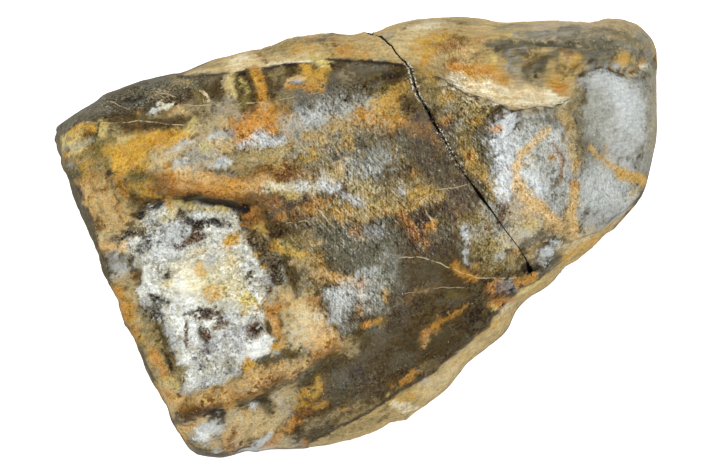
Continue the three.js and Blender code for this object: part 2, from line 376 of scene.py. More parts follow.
# %% Where the hollow and the crack are
# The border of the white crust that fills the opened pulp cavity.
CRUST = [
    (-18.0, 4.4), (-16.5, 4.5), (-16.0, 5.3), (-14.7, 5.6), (-13.9, 5.4), (-13.0, 4.7), (-11.5, 4.1),
    (-9.6, 3.2), (-10.1, 2.3), (-9.6, 1.5), (-8.6, 1.2), (-8.3, -0.4), (-8.3, -2.4), (-10.2, -3.2),
    (-10.7, -5.0), (-11.2, -6.0), (-12.2, -6.4), (-14.5, -7.2), (-16.0, -7.1), (-17.0, -6.7),
    (-16.7, -5.0), (-17.0, -4.0), (-16.6, -2.5), (-17.9, -1.0), (-17.8, 0.5), (-17.0, 1.5), (-17.2, 2.6),
]

# The open crack, from the upper edge: x, y and its width.
CRACK = [
    (1.7, 11.9, 0.1), (2.1, 11.33, 0.08), (2.6, 10.9, 0.08), (3.0, 10.4, 0.09), (3.3, 9.85, 0.09),
    (3.5, 8.9, 0.08), (3.75, 8.6, 0.11), (3.85, 8.0, 0.11), (3.75, 7.2, 0.12), (3.7, 6.2, 0.12),
    (3.95, 5.1, 0.26), (4.05, 4.2, 0.2), (4.25, 3.3, 0.08), (4.45, 2.0, 0.08), (4.6, 1.0, 0.07),
    (5.0, -0.3, 0.08), (5.3, -1.4, 0.19), (5.6, -2.4, 0.08), (6.05, -3.9, 0.06), (6.5, -5.3, 0.05),
    (6.67, -6.2, 0.08), (6.68, -6.85, 0.34),
]

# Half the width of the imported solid's groove at the same places.
GROOVE = [
    0.15, 0.15, 0.15, 0.13, 0.12, 0.12, 0.17, 0.18, 0.2, 0.2, 0.25, 0.2, 0.12, 0.11, 0.11, 0.12,
    0.17, 0.15, 0.1, 0.11, 0.17, 0.28,
]

# How thickly pale crystals line it there: from FILLED on, they fill it.
CRYSTALS = [0, 0, 0, 0.2, 0.2, 0.3, 0.75, 1, 1, 1, 0.6, 0.5, 0.7, 0.7, 0.5, 0.3, 0.2, 0.1, 0, 0, 0, 0]
FILLED = 0.75
crack_line = [(x, y) for x, y, width in CRACK]
print("crust of", len(CRUST), "corners, crack of", len(CRACK), "points")

# %% Finer faces there
UPPER_FACE = 4.0  # mm, above which a point belongs to the upper face,
LEANING_OUT = -0.3  # unless its normal points down by more than this
ROUND_CRUST = 0.8  # mm
BESIDE_CRACK = 0.5  # mm, where each face is cut in four
CLOSE_TO_CRACK = 0.36  # mm, where it is cut in four again


def refine(piece, near):
    """Cuts every edge in two whose ends both lie where `near` is true."""
    cut = bmesh.new()
    cut.from_mesh(piece.data)
    edges = [e for e in cut.edges if near[e.verts[0].index] and near[e.verts[1].index]]
    bmesh.ops.subdivide_edges(cut, edges=edges, cuts=1, use_grid_fill=True)
    cut.to_mesh(piece.data)
    cut.free()


def upward(places, normals):
    """True for the points of the upper face."""
    return (places[:, 2] > UPPER_FACE) & (normals[:, 2] > LEANING_OUT)


places, normals = points_of(crown)
beside_crack = to_path(places[:, :2], crack_line)[0] < BESIDE_CRACK
in_hollow = inside(places[:, :2], CRUST) > -ROUND_CRUST
refine(crown, upward(places, normals) & (beside_crack | in_hollow))
places, normals = points_of(crown)
refine(crown, upward(places, normals) & (to_path(places[:, :2], crack_line)[0] < CLOSE_TO_CRACK))
print("refined:", len(crown.data.vertices), "points,", len(crown.data.polygons), "faces")

# %% Close the groove to a crack
OPEN_SHARE = 0.4  # half the open width, as a share of the width that the crack shows
PULLED = 0.4  # mm beyond the groove, where the pull on its walls ends
LEAST_GAP = 0.001  # mm, so that nothing is divided by 0
BRINK = (0.1, 0.35)  # mm beyond the groove, where the height of the face is read
BRINK_STATIONS = 0.6  # how far along the crack it is read, in stations
CRYSTAL_FLOOR = 0.12  # mm, how deep the filled crack is
HAIRLINE_CRACK = (0.028, 0.036)  # mm, half widths between which the crack turns shallow
DEEPEST = 1.5  # mm, the most that the floor is raised
WALL_FOOT = 0.05  # mm


def along_crack(values):
    """The value at each point of the crown, from one value for each point of the crack."""
    return np.interp(stations, range(len(CRACK)), values)


places, normals = points_of(crown)
gap, _, share = to_path(places[:, :2], crack_line)
stations = share * (len(CRACK) - 1)
half_crack = along_crack([OPEN_SHARE * width for x, y, width in CRACK])
half_groove = along_crack(GROOVE)
foot = np.column_stack([along_crack([x for x, y in crack_line]), along_crack([y for x, y in crack_line])])
closing = np.maximum(half_groove - half_crack, 0.0)
closing *= np.minimum(gap / half_groove, 1.0) * (1.0 - fade(gap, half_groove, half_groove + PULLED))
closing *= upward(places, normals)
places[:, :2] += (foot - places[:, :2]) * (closing / np.maximum(gap, LEAST_GAP))[:, None]

beside = upward(places, normals) & (gap > half_groove + BRINK[0]) & (gap < half_groove + BRINK[1])
brink = [np.median(places[beside & (np.abs(stations - k) < BRINK_STATIONS), 2]) for k in range(len(CRACK))]
lining = along_crack(CRYSTALS)
floor = along_crack(brink) - CRYSTAL_FLOOR
shallow = np.maximum(fade(lining, FILLED, FILLED + 0.2), 1.0 - fade(half_crack, *HAIRLINE_CRACK))
filled = np.clip(floor - places[:, 2], 0.0, DEEPEST) * shallow
places[:, 2] += filled * upward(places, normals) * (gap < half_groove + WALL_FOOT)
move_points(crown, places)
print("walls of the groove move up to", round(float(closing.max()), 2), "mm")

# %% Where the enamel ends
TOP_STARTS = 4.0  # mm; a wall's point of this height starts to count as the upper face,
TOP_WHOLE = 7.0  # and one of this height counts in full
TILT_WORTH = 6.0  # mm of height that facing straight up is worth

# The outline of the enamel on the upper face. Beyond it the dentine is bare.
ENAMEL = [
    (-22, 16), (-10.6, 13.6), (-10.4, 12.9), (-8.0, 12.1), (-6.5, 11.7), (-5.0, 11.45), (-4.0, 11.3),
    (-3.0, 11.0), (-2.0, 10.7), (-0.8, 10.5), (0.0, 10.1), (1.0, 9.75), (2.0, 9.25), (3.6, 8.5),
    (4.2, 8.1), (5.2, 7.4), (5.5, 6.9), (6.3, 5.8), (6.8, 5.2), (7.3, 4.9), (8.0, 4.4), (9.0, 3.4),
    (9.5, 3.1), (11.0, 2.85), (12.0, 2.6), (13.0, 2.6), (13.5, 3.0), (14.2, 4.0), (15.2, 4.1),
    (16.0, 3.9), (17.0, 3.0), (18.1, 3.0), (22, 3.0), (22, -5.5), (15.6, -4.5), (15.05, -4.9),
    (14.0, -5.4), (13.3, -5.65), (11.7, -6.15), (10.7, -6.1), (10.0, -6.2), (9.3, -6.6), (8.2, -7.2),
    (7.2, -7.7), (6.0, -7.8), (5.0, -8.3), (3.4, -9.0), (3.0, -9.4), (2.0, -9.75), (1.0, -10.2),
    (0.0, -10.55), (-1.0, -10.9), (-3.0, -11.35), (-4.0, -11.5), (-6.0, -11.97), (-8.0, -12.25),
    (-9.7, -12.55), (-10.8, -12.6), (-11.0, -14.5), (-22, -15),
]
places, normals = points_of(crown)
plan = as_drawn(places)
wobble = 0.10 * lumps(places, 0.9, 1) + 0.05 * lumps(places, 0.35, 2)
on_top = fade(places[:, 2] + TILT_WORTH * normals[:, 2], TOP_STARTS, TOP_WHOLE)
enamel = inside(plan, ENAMEL) + wobble
print("enamel's outline holds", round(100 * float(np.mean(enamel > 0))), "% of the points")

# %% The hollow and the crack as fields
crust = inside(plan, CRUST) + 1.6 * wobble
crack_gap, crack_side, share = to_path(places[:, :2], crack_line)
stations = share * (len(CRACK) - 1)
crack_width = along_crack([width for x, y, width in CRACK])
print("crack", round(float(crack_width.min()), 2), "to", round(float(crack_width.max()), 2), "mm wide")

# %% Sculpt with strokes
# Each brush stroke: how far the middle moves in mm, its width in mm, and its path.
BRUSHES = [
    # the ledge above the hollow, and the shadow line under it
    (0.16, 0.9, [(-15.5, 7.2), (-13.0, 6.2), (-10.5, 5.1), (-8.0, 4.2), (-5.5, 3.8)]),
    (-0.22, 0.4, [(-13.4, 5.1), (-12.0, 4.5), (-10.4, 3.8), (-9.2, 3.1)]),
    # the folds below the hollow
    (0.22, 0.8, [(-18.3, -7.9), (-15.0, -7.9), (-12.0, -8.0), (-9.5, -7.9), (-7.0, -7.3)]),
    (-0.12, 0.5, [(-17.6, -8.7), (-15.6, -8.6), (-13.4, -8.9), (-11.2, -8.8)]),
    (0.25, 0.8, [(-14.3, -11.5), (-13.2, -11.2), (-12.0, -10.9)]),
    (-0.25, 0.5, [(-14.7, -11.9), (-14.6, -11.2), (-13.6, -10.6)]),
    # the groove that bounds the hollow on its right
    (-0.22, 0.55, [(-8.3, -1.2), (-8.1, -2.6), (-7.9, -3.8)]),
    (-0.18, 0.6, [(-8.8, 2.6), (-9.2, 1.0), (-8.8, -0.6)]),
    # the crest between the face and the strip that slopes away
    (0.12, 0.7, [(-17.0, 11.8), (-14.0, 10.9), (-11.0, 10.0), (-8.0, 9.4), (-5.0, 9.05), (-2.2, 8.5)]),
    # the basin's sharp lower border, its curled pit and its right border
    (0.1, 0.4, [(5.7, 6.9), (6.3, 5.8), (7.3, 4.9), (8.6, 3.9), (9.5, 3.1), (11.0, 2.85), (12.8, 2.6)]),
    (-0.24, 0.5, [(11.2, 5.1), (11.7, 5.2), (12.3, 5.5), (12.8, 5.4), (13.1, 5.0)]),
    (0.25, 0.7, [(13.2, 5.5), (13.7, 4.5), (13.8, 3.5), (13.4, 2.6)]),
    # ripples along the ridge of dentine
    (-0.2, 0.5, [(9.0, 7.8), (11.0, 7.3), (13.0, 6.6), (14.5, 5.6)]),
    (-0.16, 0.4, [(13.8, 6.6), (16.0, 5.5), (17.5, 4.7)]),
    (0.12, 0.4, [(10.0, 7.0), (12.0, 6.3), (13.4, 5.8)]),
    (0.12, 0.4, [(14.6, 6.8), (16.6, 5.9), (18.4, 5.0)]),
    # the step between that ridge and the worn facet of the tip
    (-0.2, 0.3, [(13.9, 4.2), (15.2, 4.1), (16.0, 3.9), (16.6, 3.4), (17.0, 3.0), (18.1, 3.0), (19.2, 3.2)]),
    # creases and a whorl in the enamel
    (-0.06, 0.3, [(11.0, -4.4), (11.8, -4.9)]),
    (-0.06, 0.3, [(12.0, -4.3), (12.6, -5.3)]),
    (-0.08, 0.3, [(7.3, -6.7), (8.2, -6.6), (9.1, -6.8)]),
    (-0.12, 0.35, [(9.0, 2.0), (9.4, 2.65)]),
    (-0.1, 0.4, [(-5.2, 12.7), (-4.9, 12.2), (-4.7, 11.6)]),
]
# Each pit: its depth in mm, then x, y, half-axes and turn.
PITS = [
    (0.1, (-15.8, -8.5, 0.7, 0.4, 10)),
    (0.18, (-12.8, -9.2, 0.8, 0.6, 0)),
    (0.30, (-13.7, 12.6, 0.8, 0.4, -10)),
    (0.16, (-14.6, -3.7, 0.5, 0.8, 10)),
    (0.12, (-13.3, -3.2, 0.5, 0.6, 0)),
    (0.18, (-11.3, -4.5, 0.7, 0.7, 0)),
    (0.25, (-16.5, 3.8, 0.5, 0.5, 0)),
    (0.25, (-12.9, 3.5, 0.5, 0.4, 0)),
    (0.25, (-13.0, 2.5, 0.6, 0.3, 20)),
    (0.25, (-14.2, 2.5, 0.4, 0.5, 0)),
    (0.25, (-9.2, 0.8, 0.35, 0.5, 0)),
    (0.25, (-8.7, -0.7, 0.3, 0.4, 0)),
]
# How far the broken edge moves out at each y, both in mm.
BROKEN_EDGE = [
    (-8, 0), (-6, 0.15), (-5, 0.15), (-4, 0.3), (-3, 0.3), (-2, 0.15), (-1, 0.25), (0, 0.35), (1, 0.35),
    (2, 0.3), (3, 0.3), (4, 0.4), (5, 0.25), (6, 0.1), (7, 0.2), (8.5, 0.35), (9.5, 0.35), (10.5, 0.15),
    (12, 0.1),
]
ENAMEL_THICK = 0.13  # mm
BRUSH_SPREAD = 1.6  # how much wider than its name a brush stroke reaches
ROOM = 0.1  # mm, how far everything moves in first, so that lumps fit in the solid's box
BOX_MARGIN = 0.001  # mm
CRACK_DEPTH = 0.5  # mm, below the floor of the groove

clefts = grains(places, 0.9, 5)  # the gaps between the crystals of the crust


def sculpt(plan, places):
    """How far each point of the upper face moves outwards, in mm."""
    lift = ENAMEL_THICK * fade(enamel, -0.09, 0.09)
    for depth, width, path in BRUSHES:
        lift += depth * stroke(plan, BRUSH_SPREAD * width, path)
    for depth, pit in PITS:
        lift -= depth * dab(plan, *pit)
    crystals = fade(crust, -0.2, 0.6)
    lift += crystals * (0.16 * lumps(places, 0.75, 4) - 0.17 * clefts)
    bare = fade(-enamel, -0.05, 0.25)
    lift += bare * (0.05 * lumps(places, 0.55, 6) + 0.035 * lumps(places, 0.3, 7))
    return lift


wall = fade(-normals[:, 0], 0.45, 0.8) * fade(-places[:, 0], 17.4, 18.6)
face = on_top * (1.0 - wall)
under = (1.0 - on_top) * (1.0 - wall)
lift = face * sculpt(plan, places)
lift += 0.05 * lumps(places, 2.6, 8) + 0.018 * lumps(places, 0.8, 9)
lift += wall * (0.06 * lumps(places, 1.3, 10) - 0.05 * grains(places, 1.1, 11))
patches = 1.4 * lumps(places, 5.5, 12) + 0.55 + 2.0 * wobble
lift += under * 0.16 * fade(patches, -0.1, 0.15)

low, high = (np.array(corner) / MM for corner in cad_box)
shaped = places + normals * (lift - ROOM)[:, None]
broken_edge = fade(-normals[:, 0], 0.0, 0.5) * fade(-places[:, 0], 17.0, 18.2)
heights, outward = zip(*BROKEN_EDGE)
shaped[:, 0] -= broken_edge * np.interp(places[:, 1], heights, outward)
crack_floor = face * (1.0 - fade(crack_gap, 0.2 * crack_width, 0.5 * crack_width + 0.02))
shaped[:, 2] -= CRACK_DEPTH * crack_floor * fade(crack_width, 0.05, 0.13)
move_points(crown, np.clip(shaped, low + BOX_MARGIN, high - BOX_MARGIN))
print("points move", round(float(lift.min()), 2), "to", round(float(lift.max()), 2), "mm")

# %% [markdown]
# ## Where each mineral lies
#
# The minerals came in with the groundwater, so they follow cracks, edges and hollows. A picture
# pasted on would be quick, and wrong from every other side. Instead the crown is painted in
# numbers, as a model maker would: a few pigments, and a list of strokes and dabs of them, each laid
# over the ones before. Each pigment also says how matt it leaves the surface.
#
# There are many marks, so they are written as short notes, and one function reads them. A dab is a
# pigment, its strength, x, y, its half-axes and its turn in degrees. A stroke is a pigment, its
# strength, its width and, after a colon, the points of its path.
#
# Painted borders look soft, and those of minerals are made of grains. So the same list is painted
# twice, with the plan bent a different way for each coat, and the material later shows one coat or the
# other grain by grain. Inside a patch the two agree, and only the borders break up.

# %% Pigments
# Colour bytes, and how matt the surface is: 0 is polished enamel, 1 is chalk.
PIGMENTS = {
    "umber": (78, 62, 36, 0.0),  # sound enamel
    "bistre": (40, 30, 20, 0.2),  # the dark of pits, and painted shade under ledges, in grooves and along the enamel's edge
    "olive": (90, 80, 50, 0.1),
    "moss": (120, 104, 56, 0.3),
    "slate": (99, 94, 75, 0.05),
    # ash, pewter and silver are grey enamel and, in many places, a painted sheen on it
    "ash": (146, 143, 128, 0.1),
    "pewter": (170, 170, 160, 0.15),  # satin enamel, brightened by a painted sheen
    "silver": (194, 195, 190, 0.2),
    "fog": (190, 191, 184, 0.6),
    "plaster": (188, 183, 162, 0.8),
    "ochre": (192, 148, 62, 0.5),
    "straw": (206, 184, 112, 0.6),
    "amber": (178, 126, 48, 0.5),
    "orange": (182, 127, 60, 0.5),
    "peach": (206, 170, 112, 0.6),
    "sienna": (128, 88, 42, 0.4),
    "cocoa": (104, 82, 60, 0.4),  # brown pits in the crust
    "cream": (226, 216, 184, 0.8),
    "chalk": (228, 227, 216, 1.0),
    "violet": (166, 163, 160, 0.6),
    "khaki": (152, 132, 88, 0.5),
    "stone": (172, 155, 126, 0.45),
    "loam": (86, 76, 48, 0.8),  # the stained break
    "tan": (172, 146, 94, 0.9),  # bare dentine
    "sand": (200, 177, 128, 0.9),
}


def pigment(name):
    """Linear red, green and blue, with mattness in the place of alpha."""
    *colour, matt = PIGMENTS[name]
    return np.array([*picked(*colour)[:3], matt])


print(len(PIGMENTS), "pigments")

# %% Read the notes
def read_marks(notes):
    """The marks in these notes, each with its pigment, its strength and the shape of its dab or stroke."""
    lines = [line for line in notes.splitlines() if not line.startswith("#")]
    marks = []
    for note in ";".join(lines).split(";"):
        if note:
            words, _, path = note.partition(":")
            name, strength, *shape = words.split()
            shape = [float(number) for number in shape]
            if path:
                shape.append([tuple(float(number) for number in point.split()) for point in path.split(",")])
            marks.append((name, float(strength), shape))
    return marks


print("a dab:", read_marks("khaki .95 -16.4 9.2 3 2"))

# %% Paint the upper left: the strip of enamel, the golden corner and the ledge
# the pewter grounds on the right are satin enamel with a painted sheen
PAINT = read_marks("""
# weathered ground under the stains
khaki .95 -16.4 9.2 3 2; khaki .85 -14.6 7.2 1.6 .9 -20; khaki .8 -16.2 5.8 1.5 1.3
stone .95 -11.2 7.8 2.8 1.5 -10; stone .8 1.6: -9.4 9.7, -7.8 9.2
khaki .85 2.4: -8.5 6.2, -5 5.9, -2 5.8, 1 6.2, 3 6.2; khaki .6 2.6: -5 4.2, -2 3.8, .5 3.6
khaki .8 2.2: 5 7.4, 5.8 5.6, 6.4 4.2; khaki .7 2.2: -4.5 1.2, -2 .8, .5 .6, 2.8 .2
khaki .6 -6.4 -.6 1.5 1.8 20; stone .95 -13.6 -10 3 1.3; khaki .9 -17 -9.6 1.5 1.6
pewter .95 9.8 -.8 3 3.8; pewter .95 13.2 -3.4 2.4 1.8; pewter .95 15.6 .8 2.6 3.6
slate .9 -2.8 -2.6 2.8 3; ash .8 6.4 -3.5 2.8 1.9 -10
# enamel along the upper edge
slate .9 1.6: -18.5 12.2, -15.5 12.7, -12 12.5, -9.5 12; ash .5 1: -18.3 12.1, -15.6 12.5
ash .4 .7: -12.4 12.8, -10.5 12.6, -8.4 12.2; olive .6 1.1: -18.6 12.2, -16 12.8, -13.5 13, -10.5 12.6
umber .4 -14.9 12.1 1.6 .6 -10; olive .6 -17 12.1 1.4 .3 10; bistre .85 -13.6 12.55 .85 .28 -15
slate .7 .35: -13.7 12.1, -12.9 11.95; bistre .6 -12.2 11.6 .8 .4 -30
slate .7 .6: -12.6 12.7, -10.8 12.5, -9 12, -7.4 11.85; umber .6 1.2: -11.2 11.7, -9.4 11.3, -7.8 11.2
bistre .7 .9: -13.6 10.5, -12.2 10.1, -11 9.95; bistre .6 .35: -16.6 11.9, -15 11.35, -13.6 10.8
moss .6 .25: -16.4 11.75, -14.6 11.1, -13 10.6
# the golden corner
straw .95 -18.3 11.2 .85 .55 15; ochre .8 -17.2 11.5 .75 .3 -15; moss .7 -19.15 10.9 .25 .7
straw .7 -16.3 11 .4 .6 -30; sienna .6 -17.5 11.1 .4 .12; ash .5 -17.4 10.75 .6 .2 20
amber .9 -18.5 10.4 .55 .5; olive .6 -16.9 10.6 .8 .3 -10; moss .85 -16.9 9.9 1.9 .6 -8
straw .5 -17.6 10.2 .4 .2; ochre .8 -16 9.9 .8 .5; violet .6 -18.85 9.65 .25 .25
slate .6 -15.7 9.65 .35 .25; olive .8 -18.4 9.1 .5 .4 30; ochre .7 -17.8 9.3 .5 .3
# the golden field
ochre .85 -14.4 9.7 1.9 .85 -12; ochre 1 1.4: -15.8 9, -13.8 9.3, -11.6 9.3; amber .6 -12.9 9.3 1.2 .35
straw .6 -15 10.3 .6 .3; straw .75 -10.8 9.5 .8 .5 10; moss .6 -9.9 9.6 .6 .5; ochre .8 -15.4 8.4 1 .7
amber .75 -18 8.4 .8 .45; moss .6 -16.9 9 .6 .3; olive .7 -15.1 7.75 .6 .35; ochre .7 -14.3 8 .6 .5 -20
# the peach crust at the left
tan .9 1.9: -18 7.4, -17.6 6.4, -17.4 5.4; peach .7 1.6: -18 7.4, -17.6 6.4, -17.4 5.4
ochre .6 -18.5 7.3 .3 .4; peach .9 -16.6 5 .7 .4 -10; peach .9 -18.3 4 .5 .8; peach .9 -17.5 3.6 .4 .5 20
orange .5 -16.4 6.9 .4 .4; amber .6 -16.2 7.6 .5 .5; sienna .8 -17.4 7.55 .25 .12 -20
sienna .8 -18.15 5.35 .3 .18; sienna .7 -17.1 5.3 .15 .4 10; sienna .6 -16.95 8.1 .25 .2
olive .7 -15.6 6.5 .5 .9 -20; umber .8 -15.7 5.9 .5 .35 -30
# the dark strip of the broken edge
olive 1 .55: -19.3 9, -19.3 5, -19.2 2, -19.05 1.2; slate .6 .3: -19 8.3, -19 6.5, -18.95 4.6
bistre .7 -18.85 7.8 .25 .4; bistre .6 -18.9 6.2 .15 .4; bistre .5 -18.7 4.7 .2 .4
# pale films between the golden field and the ledge
sand .8 -12.9 8.2 1.1 .6 -10; fog .7 -11.8 8.55 1.2 .25 3; peach .45 -12.9 8.75 .8 .2
sand .7 -13.2 7.7 .5 .3 -30; fog .7 -12.1 7.3 .7 .4; ash .75 -10.7 7.6 1.1 .6; moss .5 -11.6 7.9 .6 .3
straw .5 -10.2 7.9 .6 .4; fog .7 -9.3 8.3 .8 .35; violet .6 -8.3 8.1 .5 .25; amber .6 -9.3 7.4 .6 .45
amber .8 -8.4 8.9 .5 .4; fog .85 -9.7 6.55 .8 .3; slate .8 -9.7 6.05 .7 .25; ash .6 -9.7 5.5 .8 .3 -10
peach .6 -11.9 7 .3 .3; slate .8 -9.7 8.85 .4 .22; olive .6 -9 9.6 .5 .6 20; ash .5 -8.7 9.7 .4 .3
# films on the strip of enamel
fog .95 -12.65 11.15 .35 .25; cream .95 -11.9 11.2 .5 .22 -5; sienna .8 -12 10.65 .5 .25 -15
bistre .7 -12.2 10.75 .3 .12; peach .9 -11.2 10.75 .45 .3 -25; peach .8 -10.8 10.45 .25 .15
ochre .7 -13.65 11.35 .25 .25; moss .6 -13.5 11.1 .3 .2 -30; moss .8 .6: -9.6 11.4, -9.75 10.9, -9.7 10.3
ash .5 .4: -8 10.4, -7.7 9.9
# the ledge
moss .6 -14.9 7.2 .9 .5 -30; umber .7 -13.9 7.1 .8 .45 -30; orange .85 -14.6 6.4 .7 .4
sienna .7 -13.5 6.7 .5 .35 -20; amber .9 -12.9 6.9 .6 .3 -40
sienna .9 .9: -14.2 6.2, -12.9 5.9, -11.6 5.3, -10.8 4.8
orange 1 1.2: -12.8 6.3, -11.4 5.8, -10.2 5.1, -9.2 4.6, -8.2 4.3
peach .5 .8: -12.6 6.2, -11 5.7, -9.6 5, -8.2 4.3; amber .5 -10.2 5 .8 .3 -25
peach .6 -12.2 6.9 .4 .3 -20; amber .7 -9.6 4.9 .7 .3 -30; umber .8 -12.2 5.2 .9 .25 -15
sienna .7 .4: -9.9 4, -9 3.6, -8 3.4
""")
print(len(PAINT), "marks so far")

# %% Paint the upper middle: the drips, the rim and the orange bands
# brown end of the ledge, and painted silver glints below it
# the bright orange flame, and under it silver enamel with a painted sheen
PAINT += read_marks("""
# pale film on the rim, and stains in the dentine
sand .9 1.2: -6.9 12.3, -5.9 12.2, -5.3 11.7; cream .6 -5.9 12.4 .6 .35; ochre .5 -7.4 12.3 .4 .3
khaki .8 1.5: -10.2 12.9, -8 12.6; khaki .8 1.5: -4.6 12.4, -2.5 12.1, -.5 11.9
moss .6 -3.5 12.4 1.3 .3 -5; ochre .6 -2.2 11.8 1.2 .4 -20; sienna .6 -.3 11.6 .6 .25 -20
sienna .5 -1.5 12.2 .4 .15 -10; slate .5 .3: -1 12.1, .3 11.9, 1.2 11.4; amber .8 .4 10.85 .6 .4 -10
sienna .8 -.55 10.8 .3 .15; orange .6 .5 10.3 .25 .2; orange .8 1.3 10.1 .35 .25 -20
sand .8 .5: -4.8 11.75, -3 11.4, -1.5 11.1; ash .5 3.4 10.6 .6 .4; sand .6 3.6 9.7 1.2 .6 -10
slate .4 4.2 10.3 .5 .2 20; ochre .7 1.4 9.7 .8 .3 -25
# the drips
umber 1 .55: -6.25 11.5, -6.25 10.6, -6.35 9.8; bistre .7 -7 9.2 .6 .2 5
# enamel to the right of them, with an eye of blue and amber
umber .7 -3.6 10.6 1.2 .7 -15; ash .35 1.5: -4 8.8, -1 8.9, 2 8.8; umber .5 1 8.3 1.5 .4
moss .5 1.6 8.35 .7 .25; ochre .8 .9: -2.5 10.5, -2.4 9.8, -2 9.4; amber .8 -2.4 9 .6 .3 -10
straw .85 -1 10.5 .45 .5; ochre .8 -1.5 9.8 .6 .5 10; slate .8 -1.65 10.4 .15 .35
straw .6 -1.9 10.9 .4 .2 -20
# the bright orange flame and the silver under it
orange 1 1.4: -7.8 7.8, -6.9 8.3, -6 8.5, -5.5 8.2; orange .95 -5.9 7.9 .9 .8 -20; amber .9 -5 7.9 .7 .8
amber .8 -5 7 .5 .5; orange .9 -6.1 7.4 .5 .35 -20; peach .4 -5.7 8.9 .5 .3; peach .4 -6.5 7.9 .5 .3
silver .9 .7: -8 7.1, -7 7.25, -6.3 6.8, -5.6 6.5; fog .6 -7 6.9 .5 .3
pewter .8 1.7: -4.4 7.4, -2.8 7.2, -1.2 7.2, .3 7; silver .6 -3.3 7.3 1.1 .5; violet .4 -4 7.7 .4 .2
slate .6 -.3 7.7 1 .3; bistre .5 2.6 8.1 1 .4 -10; slate .6 .6: .2 7, 1 7.5; moss .6 1.9 7.3 .6 .35 20
# ochre mottle and the orange band down to the crack
moss .7 -6.8 6 1 .4; ochre .6 -5 6 .7 .3; ochre .52 -6.5 5.5 .9 .3; slate .8 -5.6 5.5 .35 .2 20
slate .5 -7.6 5.6 .4 .25; ash .6 .5: -4.4 6.6, -4.3 5.8, -4.6 5.3; ochre .64 1: -3.8 6.1, -3 5.9, -2.9 5.3
sienna .5 -2.9 5.1 .4 .3; ochre .6 1.2: -1.8 6, -.8 6, -.2 6.1; ash .5 -2.1 5.6 .3 .6 -20
ochre .68 .9: .9 6.5, 2 6.6, 3.2 7; amber .52 2 6.4 .8 .3 5
amber .75 1.2: -.2 6.1, .5 5.7, 1.3 5.4, 2.1 5, 2.8 4.6, 3.3 4.1; peach .5 .3 5.9 .4 .3
peach .4 1.3 5.3 .5 .3 -20; slate .5 3.1 5.5 .5 .3; bistre .85 3 5.8 .55 .35 -20; umber .8 3.3 5.1 .4 .4
orange .68 3.4 4 .35 .25; amber .52 3.8 3.3 .3 .6 10; orange .45 3.8 2.4 .3 .4
ash .4 2.4: -4.4 5.3, -2 5, 0 4.6
# brown end of the ledge, and the silver glints below it
sienna .9 1.2: -7.8 5, -6.4 4.6, -5.2 4.5; bistre .5 -5.9 4.5 .6 .25
moss .6 .7: -4.8 4.9, -3.8 4.7, -3.2 4.3; ochre .6 -4.2 5 .5 .5; ochre .7 -1.5 4.9 .5 .5
slate .7 -2.6 4.4 .4 .4; slate .7 -.6 4.8 .5 .35; moss .5 -.7 4.2 .5 .3; sienna .5 -4.2 3.9 .5 .2 -20
orange .5 -4.9 3.7 .5 .3 -20; peach .6 -2.6 3.6 .5 .5 -30; straw .8 -7 3.9 .9 .4 -25
cream .8 .5: -7.6 4.2, -6.6 3.8, -5.6 3.4, -5.2 3.1; silver .8 -5.3 3.3 .6 .3 -20
silver 1 -3.9 3.1 .7 .5 -10; silver .9 -3.5 2.5 .6 .4 -20; chalk .5 -4.2 3.3 .3 .2
ochre .7 -6.1 3 .6 .35 -10; umber .8 -7.4 3 .8 .5; umber .8 -5.8 2.3 .9 .5; amber .6 -4.9 2.5 .4 .5 -20
amber .5 -7.3 2.2 .4 .3
# speckled grey left of the crack
slate .8 -.4 3.2 1.4 1.6; moss .6 -1.9 2.8 .5 1 -10; ash .5 -.3 3.3 .6 .9; slate .7 1.8 3.6 .7 1
bistre .5 1.1 4.4 .3 .3; moss .4 1.7 2.5 .4 .6; umber .6 2.7 2.5 .7 .9
# and right of it
ochre .56 .9: 4.5 7.7, 4.9 7.1; moss .6 5.2 6.3 .6 .6; ochre .48 5.4 5.6 .7 .5
bistre .5 5.3 6.9 .4 .2 -20; ash .5 5.5 4.9 .5 .4; amber .48 4.9 4.2 .4 .5; ash .6 5.6 3.3 .4 .6
moss .5 6.2 4.6 .8 .5; moss .5 4.6 5.9 .3 .6
""")
print(len(PAINT), "marks so far")
